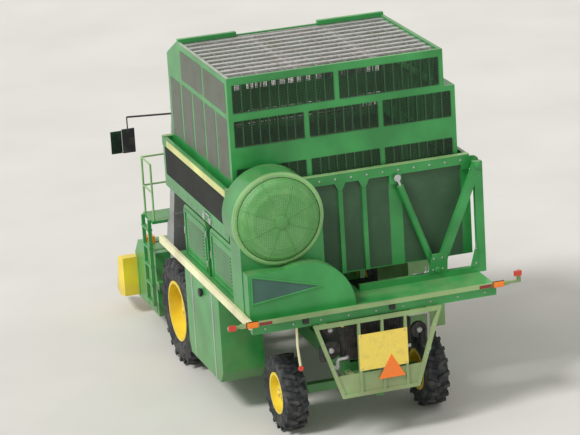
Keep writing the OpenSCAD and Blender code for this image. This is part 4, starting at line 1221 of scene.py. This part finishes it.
@dataclass
class RearEnd:
    """What shows through and on the rear guard: cooler, pulleys, pipes, lamps and fasteners."""

    guard_x: float = -4.2374
    core_x: float = -3.98
    core_y: Span = (-0.60, 0.55)
    core_z: Span = (1.32, 2.00)
    ribs: int = 24
    rib_pitch: float = 0.048
    # Each pulley's y, z and radius, and its hub's radius.
    pulleys: tuple[tuple[float, float, float, float], ...] = (
        (0.72, 1.52, 0.15, 0.045),
        (0.72, 1.86, 0.09, 0.040),
        (-0.74, 1.62, 0.13, 0.045),
    )
    # Places of the core's clips, and then of the oil cap, as y and z.
    clips: tuple[Span, ...] = ((0.50, 1.90), (-0.58, 1.92), (-0.58, 1.38))
    oil_cap: Span = (0.535, 1.925)
    bowl_ys: Span = (-0.80, 0.84)
    bowl_z: float = 1.36
    # Cooler pipes: where they start, run and end, as x; then upper y and z, lower y and z of each.
    pipe_xs: tuple[float, float, float] = (-4.06, -4.12, -3.9)
    pipes: tuple[tuple[float, float, float, float], ...] = (
        (-0.52, 1.93, -0.86, 1.30),
        (0.48, 1.40, 0.66, 1.24),
    )
    # What stands on the light bar.
    lamp_bodies: Row = Row((-4.2125, -4.205), (2.17, 2.272), 0.194, (-2.112, 1.918))
    lenses: Row = Row((-4.254, -4.246), (2.19, 2.252), 0.070, (-2.090, -2.013, 1.940, 2.017))
    reflectors: Row = Row((-4.216, -4.207), (2.185, 2.235), 0.20, (-1.90, 1.70))
    sockets: Row = Row((-4.185, -4.149), (2.08, 2.17), 0.09, (1.10, -0.31))
    post: tuple[Point, ...] = ((-4.09, 1.28, 2.04), (-4.09, 1.28, 1.70), (-4.12, 1.26, 1.38))
    mark: Point = (-4.125, 1.26, 1.36)
    plate_y: Span = (-0.42, 0.30)
    plate_z: Span = (1.22, 1.75)
    plate_thick: float = 0.0063
    # First of the light bar's bolts from the right, how many there are, and their pitch.
    bar_bolt: Point = (-4.15, -1.8, 2.10)
    bar_bolts: int = 9
    bar_pitch: float = 0.45
    # The guard's side bars lean outwards by so much for each metre up, from this y and z.
    guard_foot: Span = (0.605, 0.78)
    guard_lean: float = 0.332
    guard_bolt_zs: tuple[float, ...] = (0.86, 1.30, 1.74)

    def build(self) -> None:
        """Builds the rear's pieces."""
        self.build_cooler()
        self.build_pulleys()
        self.build_pipes()
        self.build_lamps()
        self.build_marker()
        self.build_bolts()

    def build_cooler(self) -> None:
        """Builds the ribbed core of the cooler."""
        core = Piece("cooler_core", IRON, bevel_mm=2)
        x, (right, left), (low, high) = self.core_x, self.core_y, self.core_z
        core.block((x - 0.04, right, low), (x + 0.02, left, high))
        for k in range(self.ribs):
            y = right + 0.015 + k * self.rib_pitch
            core.block((x - 0.052, y, low + 0.02), (x - 0.038, y + 0.014, high - 0.02))
        core.make()

    def build_pulleys(self) -> None:
        """Builds the belt pulleys with their hubs, the core's clips and an oil cap."""
        discs = Piece("belt_pulleys", IRON)
        hubs = Piece("pulley_hubs", BRIGHT_STEEL, bevel_mm=2)
        x = self.core_x
        groove = [(0.02, -0.03), (1.0, -0.03), (0.82, 0.0), (1.0, 0.03), (0.02, 0.03)]
        for y, z, r, hub in self.pulleys:
            discs.lathe([(r * share, h) for share, h in groove], (x, y, z), Axis.BACK, 36)
            profile = [(0.0, 0.0), (hub, 0.0), (hub, 0.035), (hub * 0.6, 0.05), (0.0, 0.05)]
            hubs.lathe(profile, (x - 0.025, y, z), Axis.BACK, 24)
        for y, z in self.clips:
            hubs.block((x - 0.075, y, z), (x - 0.045, y + 0.07, z + 0.05))
        discs.make()
        hubs.make()
        caps = Piece("oil_caps", YELLOW)
        profile = [(0.0, 0.0), (0.032, 0.0), (0.032, 0.03), (0.0, 0.036)]
        caps.lathe(profile, (x - 0.07, *self.oil_cap), Axis.BACK, 20)
        caps.make()

    def build_pipes(self) -> None:
        """Builds the cooler's rigid pipes and the filters' bowls."""
        pipes = Piece("cooler_pipes", BRIGHT_STEEL)
        start, run, end = self.pipe_xs
        for y, z, low_y, low_z in self.pipes:
            down = [(start, y, z), (run, y, z), (run, low_y, z), (run, low_y, low_z)]
            pipes.bent_pipe([*down, (end, low_y, low_z)], 0.026, 0.05)
        pipes.make()
        bowls = Piece("filter_bowls", PLASTIC)
        profile = [
            (0.0, 0.0), (0.05, 0.0), (0.07, 0.03), (0.07, 0.22), (0.045, 0.25), (0.0, 0.25)
        ]
        for y in self.bowl_ys:
            bowls.lathe(profile, (self.core_x - 0.02, y, self.bowl_z), Axis.Z, 28)
        bowls.make()

    def build_lamps(self) -> None:
        """Builds the lamps' bodies and lenses, the reflectors and the sockets on the light bar."""
        rows = (
            ("rear_lamp_bodies", PLASTIC, 3, self.lamp_bodies),
            ("rear_lamp_lenses", AMBER, 6, self.lenses),
            # The reflectors' faint glow is painted light.
            ("bar_reflectors", DARK_RED, 2, self.reflectors),
            ("beam_sockets", PLASTIC, 4, self.sockets),
        )
        for name, finish, bevel, row in rows:
            piece = Piece(name, finish, bevel_mm=bevel)
            row.fill(piece)
            piece.make()

    def build_marker(self) -> None:
        """Builds the bent post under the bar and the red reflector on its end."""
        post = Piece("marker_post", CREAM)
        post.bent_pipe(self.post, 0.020, 0.06)
        post.make()
        # The reflector's faint glow is painted light.
        mark = Piece("marker_reflector", RED, bevel_mm=3)
        profile = [(0.0, 0.0), (0.045, 0.0), (0.045, 0.014), (0.035, 0.022), (0.0, 0.022)]
        mark.lathe(profile, self.mark, Axis.BACK, 28)
        mark.make()

    def build_bolts(self) -> None:
        """Builds the bolts of the plate, the light bar and the guard."""
        bolts = Piece("rear_bolts", BRIGHT_STEEL)
        for z in self.plate_z:
            for y in self.plate_y:
                bolts.bolt((self.guard_x - self.plate_thick, y, z), Axis.BACK, 0.010)
        x, y, z = self.bar_bolt
        for k in range(self.bar_bolts):
            bolts.bolt((x, y + k * self.bar_pitch, z), Axis.BACK, 0.013)
        foot_y, foot_z = self.guard_foot
        for side in Side:
            for z in self.guard_bolt_zs:
                out = foot_y + (z - foot_z) * self.guard_lean
                bolts.bolt((self.guard_x, side.value * out, z), Axis.BACK)
        bolts.make()


@dataclass
class SupportFrames:
    """Gussets, pivot caps and rigid pipes of the frames that carry the basket."""

    xs: Span = (-3.46, 0.51)
    plate: float = 0.010
    # Outlines of the gussets, as y and z.
    gussets: tuple[tuple[Span, ...], ...] = (
        ((-1.98, 2.30), (-1.98, 2.75), (-1.85, 2.30)),
        ((-1.46, 2.30), (-1.14, 2.30), (-1.22, 2.62), (-1.48, 2.62)),
    )
    bolts: tuple[Span, ...] = (
        (-1.95, 2.36), (-1.95, 2.60), (-1.38, 2.36), (-1.22, 2.36), (-1.38, 2.54), (-1.24, 2.54)
    )
    # Each pivot cap's y, z and radius.
    pivots: tuple[tuple[float, float, float], ...] = ((-2.05, 3.95, 0.062), (-1.30, 2.35, 0.048))
    pipe_x: float = -3.42
    pipe_y: Span = (-0.95, -1.17)
    pipe_z: Span = (2.32, 2.42)
    pipe_gap: float = 0.05

    def build(self) -> None:
        """Builds the frames' pieces."""
        plates = Piece("frame_gussets", GREEN, bevel_mm=3)
        bolts = Piece("frame_bolts", BRIGHT_STEEL)
        caps = Piece("pivot_caps", GREEN)
        for x, axis in zip(self.xs, (Axis.BACK, Axis.X)):
            outer = x + axis.value[0] * self.plate
            for outline in self.gussets:
                corners = [(min(x, outer), y, z) for y, z in outline]
                plates.prism(corners, (self.plate, 0, 0))
            for y, z in self.bolts:
                bolts.bolt((outer, y, z), axis)
            for y, z, r in self.pivots:
                profile = [(0.0, 0.0), (r, 0.0), (r, 0.022), (r * 0.7, 0.034), (0.0, 0.034)]
                caps.lathe(profile, (x, y, z), axis, 32)
        plates.make()
        bolts.make()
        caps.make()
        lines = Piece("dump_pipes", BRIGHT_STEEL)
        x, (low, high) = self.pipe_x, self.pipe_z
        for shift in (0.0, self.pipe_gap):
            near, far = [y + shift for y in self.pipe_y]
            lines.bent_pipe([(x, near, low), (x, far, low), (x, far, high)], 0.010, 0.04)
        lines.make()


@dataclass
class Cab:
    """Seals, lamps, handle, console and mirror glass of the cab."""

    x: Span = (0.70, 2.15)
    half_width: float = 0.82
    door_x: Span = (1.45, 2.06)
    roof_z: float = 4.04
    seal_width: float = 0.02
    seal_thick: float = 0.006
    side_window_z: Span = (2.75, 3.82)
    door_window_x: Span = (1.53, 1.98)
    door_window_z: Span = (2.76, 3.81)
    lamp_x: Span = (2.13, 2.20)
    lamp_ys: tuple[float, ...] = (-0.62, -0.38, 0.24, 0.48)
    desk_x: Span = (1.18, 1.72)
    desk_y: Span = (-0.70, -0.46)
    desk_z: Span = (2.302, 2.86)
    # Foot of the lever's knob.
    knob: Point = (1.57, -0.58, 3.01)
    handle_x: float = 1.99
    handle_y: Span = (0.819, 0.868)
    handle_z: Span = (2.62, 2.92)
    mirrors: Row = Row((2.262, 2.270), (3.302, 3.698), 0.196, (2.172, -2.368))

    def seal(self, piece: Piece, x: Span, y: Span, z: Span, lap: float) -> None:
        """Adds a window's seal as four strips.

        Args:
            piece: Piece that takes the strips.
            x: The opening's ends along the machine.
            y: The strips' two faces.
            z: The opening's lowest and highest edge.
            lap: How far the upright strips reach into the opening.
        """
        (a, b), (low, high), w = x, z, self.seal_width
        strips = (
            (a - w, a + lap, low, high),
            (b - lap, b + w, low, high),
            (a - w, b + w, low - w, low),
            (a - w, b + w, high, high + w),
        )
        for x0, x1, z0, z1 in strips:
            piece.block((x0, y[0], z0), (x1, y[1], z1))

    def build(self) -> None:
        """Builds the cab's pieces."""
        self.build_seals()
        self.build_lamps()
        self.build_console()
        self.build_door()
        self.build_mirrors()

    def build_seals(self) -> None:
        """Builds the seals of the side windows behind the door."""
        seals = Piece("window_seals", SEAL_RUBBER, bevel_mm=2)
        window = (self.x[0] + 0.11, self.door_x[0] - 0.06)
        outer = self.half_width + self.seal_thick
        for side in Side:
            y0, y1 = sorted((side.value * self.half_width, side.value * outer))
            self.seal(seals, window, (y0, y1), self.side_window_z, 0.004)
        seals.make()

    def build_lamps(self) -> None:
        """Builds the work lamps along the roof's front edge."""
        lamps = Piece("roof_lamp_bodies", PLASTIC, bevel_mm=4)
        lenses = Piece("roof_lamp_lenses", CLEAR_LENS, bevel_mm=3)
        (back, front), z = self.lamp_x, self.roof_z
        for y in self.lamp_ys:
            lamps.block((back, y, z - 0.004), (front, y + 0.14, z + 0.095))
            low = (front - 0.004, y + 0.012, z + 0.010)
            lenses.block(low, (front + 0.006, y + 0.128, z + 0.083))
        lamps.make()
        lenses.make()

    def build_console(self) -> None:
        """Builds the console and its lever, seen through the glass."""
        desk = Piece("cab_console", PLASTIC, bevel_mm=8)
        (x0, x1), (y0, y1), (low, top) = self.desk_x, self.desk_y, self.desk_z
        desk.block((x0, y0, low), (x1, y1, top))
        back, front = x0 - 0.02, x1 + 0.04
        section = [(back, top), (front, top), (front, top + 0.04), (back, top + 0.10)]
        desk.prism([(x, y0 - 0.01, z) for x, z in section], (0, 0.26, 0))
        x, y, z = self.knob
        desk.pipe([(x - 0.02, y, top + 0.02), (x, y, z + 0.01)], 0.010)
        profile = [(0.0, 0.0), (0.022, 0.005), (0.026, 0.03), (0.018, 0.06), (0.0, 0.065)]
        desk.lathe(profile, self.knob, Axis.Z, 20)
        desk.make()

    def build_door(self) -> None:
        """Builds the door's handle and its window seal."""
        handle = Piece("door_handle", PLASTIC, Body.CAB_DOOR, bevel_mm=3)
        x, (near, out), (low, high) = self.handle_x, self.handle_y, self.handle_z
        corners = [(x, near, low), (x, out, low), (x, out, high), (x, near, high)]
        handle.bent_pipe(corners, 0.011, 0.03)
        handle.make()
        seal = Piece("door_window_seal", SEAL_RUBBER, Body.CAB_DOOR, bevel_mm=2)
        faces = (self.half_width, self.half_width + self.seal_thick)
        self.seal(seal, self.door_window_x, faces, self.door_window_z, 0.003)
        seal.make()

    def build_mirrors(self) -> None:
        """Builds the silvered panes that face the rear."""
        panes = Piece("mirror_panes", MIRROR_GLASS, bevel_mm=2)
        self.mirrors.fill(panes)
        panes.make()


@dataclass
class Head:
    """Spindles in the throats, ribs and bolts on the cabinets, and lamps of the picking head."""

    unit_ys: tuple[float, ...] = (-1.4475, -0.4825, 0.4825, 1.4475)
    x: Span = (2.0506, 3.4006)
    # Where the drums' middles stand, and the side of the row that each picks from.
    drums: tuple[tuple[float, int], ...] = ((3.05, 1), (2.62, -1))
    # Bars of spindles: how far from the unit's middle, their pitch, and their height.
    bar_y: float = 0.072
    bar_pitch: float = 0.11
    bar_z: Span = (0.40, 1.12)
    spindle: float = 0.060
    spindles: int = 9
    spindle_z: float = 0.46
    spindle_pitch: float = 0.075
    # Faces of a cabinet's ribs, from the unit's middle.
    rib_y: Span = (0.349, 0.358)
    rib_z: Span = (0.40, 1.10)
    rib_width: float = 0.05
    cabinet_top: float = 1.498
    bolt_z: float = 0.5
    lamps: Row = Row((2.6106, 2.8006), (1.499, 1.63), 0.165, (1.63, -1.795))

    def build(self) -> None:
        """Builds the head's pieces."""
        self.build_spindles()
        self.build_cabinets()
        self.build_lamps()

    def build_spindles(self) -> None:
        """Builds the bars of spindles that show in the throats."""
        bars = Piece("spindle_bars", IRON, Body.HEAD)
        tips = Piece("spindles", BRIGHT_STEEL, Body.HEAD)
        low, high = self.bar_z
        for unit_y in self.unit_ys:
            for drum_x, side in self.drums:
                for k in (-1, 0, 1):
                    x, y = drum_x + k * self.bar_pitch, unit_y + side * self.bar_y
                    bars.pipe([(x, y, low), (x, y, high)], 0.012, 8)
                    for level in range(self.spindles):
                        z = self.spindle_z + level * self.spindle_pitch
                        tips.pipe([(x, y, z), (x, y - side * self.spindle, z)], 0.0055, 5)
        bars.make()
        tips.make()

    def build_cabinets(self) -> None:
        """Builds the ribs and the bolts on the cabinets."""
        trim = Piece("cabinet_ribs", GREEN, Body.HEAD, bevel_mm=3)
        bolts = Piece("cabinet_bolts", BRIGHT_STEEL, Body.HEAD)
        (back, front), (low, high), top = self.x, self.rib_z, self.cabinet_top
        for y in self.unit_ys:
            for side in Side:
                y0, y1 = sorted(y + side.value * face for face in self.rib_y)
                for x in (back + 0.12, back + 0.62, front - 0.16):
                    trim.block((x, y0, low), (x + self.rib_width, y1, high))
                trim.block((back + 0.12, y0, high - 0.02), (front - 0.11, y1, high + 0.03))
                for x in (back + 0.145, front - 0.135):
                    at = (x, y + side.value * self.rib_y[1], self.bolt_z)
                    bolts.bolt(at, side.outward, 0.010)
            for x in (back + 0.18, back + 0.62):
                trim.block((x, y - 0.30, top), (x + self.rib_width, y + 0.30, top + 0.01))
        trim.make()
        bolts.make()

    def build_lamps(self) -> None:
        """Builds an amber lamp on each outer cabinet."""
        lamps = Piece("head_lamps", AMBER, Body.HEAD, bevel_mm=5)
        self.lamps.fill(lamps)
        lamps.make()


@dataclass
class Ducts:
    """Bands round the four air ducts."""

    ys: Span = (1.060, 1.480)
    # How far forward a duct goes for each metre up, and a point that its middle passes.
    lean: float = -0.29067
    foot: Span = (1.64, 1.25)
    half_cut: float = 0.127
    half_width: float = 0.170
    band_zs: tuple[float, ...] = (2.42, 3.05, 3.70, 4.35, 4.98)
    band: float = 0.035

    def middle(self, z: float) -> float:
        """Returns a duct's place along the machine at a height."""
        return self.foot[0] + self.lean * (z - self.foot[1])

    def build(self) -> None:
        """Builds the ducts' pieces."""
        bands = Piece("duct_bands", ZINC, bevel_mm=2)
        for side in Side:
            for duct_y in self.ys:
                for z in self.band_zs:
                    self.add_band(bands, side.value * duct_y, z)
        bands.make()

    def add_band(self, bands: Piece, y: float, z: float) -> None:
        """Adds one band as four flat bars.

        Args:
            bands: Piece that takes the bars.
            y: Middle of the duct.
            z: Lower edge of the band.
        """
        x, r, w = self.middle(z), self.half_cut, self.half_width
        back, front, right, left = x - r - 0.010, x + r + 0.012, y - w - 0.008, y + w + 0.008
        bars = (
            (back, x - r + 0.002, right, left),
            (x + r - 0.004, front, right, left),
            (back, front, right, y - w + 0.001),
            (back, front, y + w - 0.001, left),
        )
        for x0, x1, y0, y1 in bars:
            bands.block((x0, y0, z), (x1, y1, z + self.band))


@dataclass
class Studio:
    """Pale floor, a broad lamp, an even sky and the camera that looks as the photograph does."""

    # Where the photograph was taken; heading and pitch of its view, and its roll, in radians.
    eye: Point = (-45.09, 14.26, 17.25)
    heading: float = -0.526
    pitch: float = 0.352
    roll: float = 0.010
    target: Point = (-0.85, 0.25, 2.72)
    lens_mm: float = 185.0
    floor_reach: float = 400.0
    clip_end: float = 1000.0
    key_level: float = 2.1
    key_spread: float = math.radians(14)
    key_direction: Point = (0.25, -0.62, -0.75)
    sky_level: float = 0.62
    backdrop: str = "#efede8"

    def build(self) -> None:
        """Builds the floor, the lamps, the world and the camera."""
        self.build_floor()
        self.build_key()
        self.build_world()
        self.build_camera()

    def build_floor(self) -> None:
        """Builds a floor far wider than the view."""
        mesh = bpy.data.meshes.new("studio_floor")
        far = self.floor_reach
        corners = [(-far, -far, 0), (far, -far, 0), (far, far, 0), (-far, far, 0)]
        mesh.from_pydata(corners, [], [(0, 1, 2, 3)])
        mesh.materials.append(CONCRETE.material())
        floor = bpy.data.objects.new("studio_floor", mesh)
        bpy.context.scene.collection.objects.link(floor)

    def build_key(self) -> None:
        """Builds a broad key light from the side that the photograph's sun shines from."""
        lamp = bpy.data.lights.new("key", "SUN")
        lamp.energy = self.key_level
        lamp.angle = self.key_spread
        key = bpy.data.objects.new("key", lamp)
        bpy.context.scene.collection.objects.link(key)
        key.rotation_mode = "QUATERNION"
        key.rotation_quaternion = Vector(self.key_direction).to_track_quat("-Z", "Y")

    def build_world(self) -> None:
        """Builds an even sky, which the camera, metal and glass see as a pale backdrop."""
        world = bpy.data.worlds.new("studio")
        bpy.context.scene.world = world
        world.use_nodes = True
        tree = world.node_tree
        tree.nodes.clear()
        ray = add_node(tree, "ShaderNodeLightPath").outputs
        seen = ray["Is Camera Ray"]
        for other in ("Is Glossy Ray", "Is Transmission Ray"):
            either = {0: seen, 1: ray[other]}
            seen = add_node(tree, "ShaderNodeMath", either, {"operation": "MAXIMUM"}).outputs[0]
        even = {"Color": (1, 1, 1, 1), "Strength": self.sky_level}
        pale = {"Color": linear(self.backdrop), "Strength": 1.0}
        lights = [add_node(tree, "ShaderNodeBackground", each).outputs[0] for each in (even, pale)]
        both = add_node(tree, "ShaderNodeMixShader", {0: seen, 1: lights[0], 2: lights[1]})
        add_node(tree, "ShaderNodeOutputWorld", {0: both.outputs[0]})

    def build_camera(self) -> None:
        """Builds the camera where the photograph was taken, turned to the machine by the least."""
        data = bpy.data.cameras.new("camera")
        data.lens = self.lens_mm
        data.clip_end = self.clip_end
        camera = bpy.data.objects.new("camera", data)
        bpy.context.scene.collection.objects.link(camera)
        level = math.cos(self.pitch)
        ahead, aside = math.cos(self.heading) * level, math.sin(self.heading) * level
        axis = Vector((ahead, aside, -math.sin(self.pitch)))
        taken = axis.to_track_quat("-Z", "Y") @ Quaternion((0, 0, 1), self.roll)
        to_machine = axis.rotation_difference(Vector(self.target) - Vector(self.eye))
        camera.location = self.eye
        camera.rotation_mode = "QUATERNION"
        camera.rotation_quaternion = to_machine @ taken
        bpy.context.scene.camera = camera


def wheels() -> list[Wheel]:
    """Gives the four wheels.

    Returns:
        The drive wheel and the steered wheel of the left side, and then of the right.
    """
    drive = {"tread_radius": 0.90, "width": 0.52, "bead_radius": 0.49, "hub_radius": 0.125}
    steer = {"tread_radius": 0.60, "width": 0.38, "bead_radius": 0.31, "hub_radius": 0.100}
    made = []
    for side in Side:
        kinds = (
            (Body[f"DRIVE_{side.name}"], (0.65, side.value * 1.62, 0.90), drive, 10),
            (Body[f"STEER_{side.name}"], (-3.05, side.value * 1.18, 0.60), steer, 8),
        )
        for body, centre, sizes, nuts in kinds:
            made.append(Wheel(body, centre, side, **sizes, nuts=nuts))
    return made


def main() -> None:
    """Builds each sub-assembly in order."""
    logging.basicConfig(level=logging.INFO, format="%(name)s: %(message)s")
    bpy.context.scene.view_settings.view_transform = "Standard"
    kinds = (Basket, RotaryScreen, LeftSide, RearEnd, SupportFrames, Cab, Head, Ducts, Studio)
    for assembly in (Bodywork(), *wheels(), *(kind() for kind in kinds)):
        assembly.build()
        LOG.info("%s is built", type(assembly).__name__)


if __name__ == "__main__":
    main()
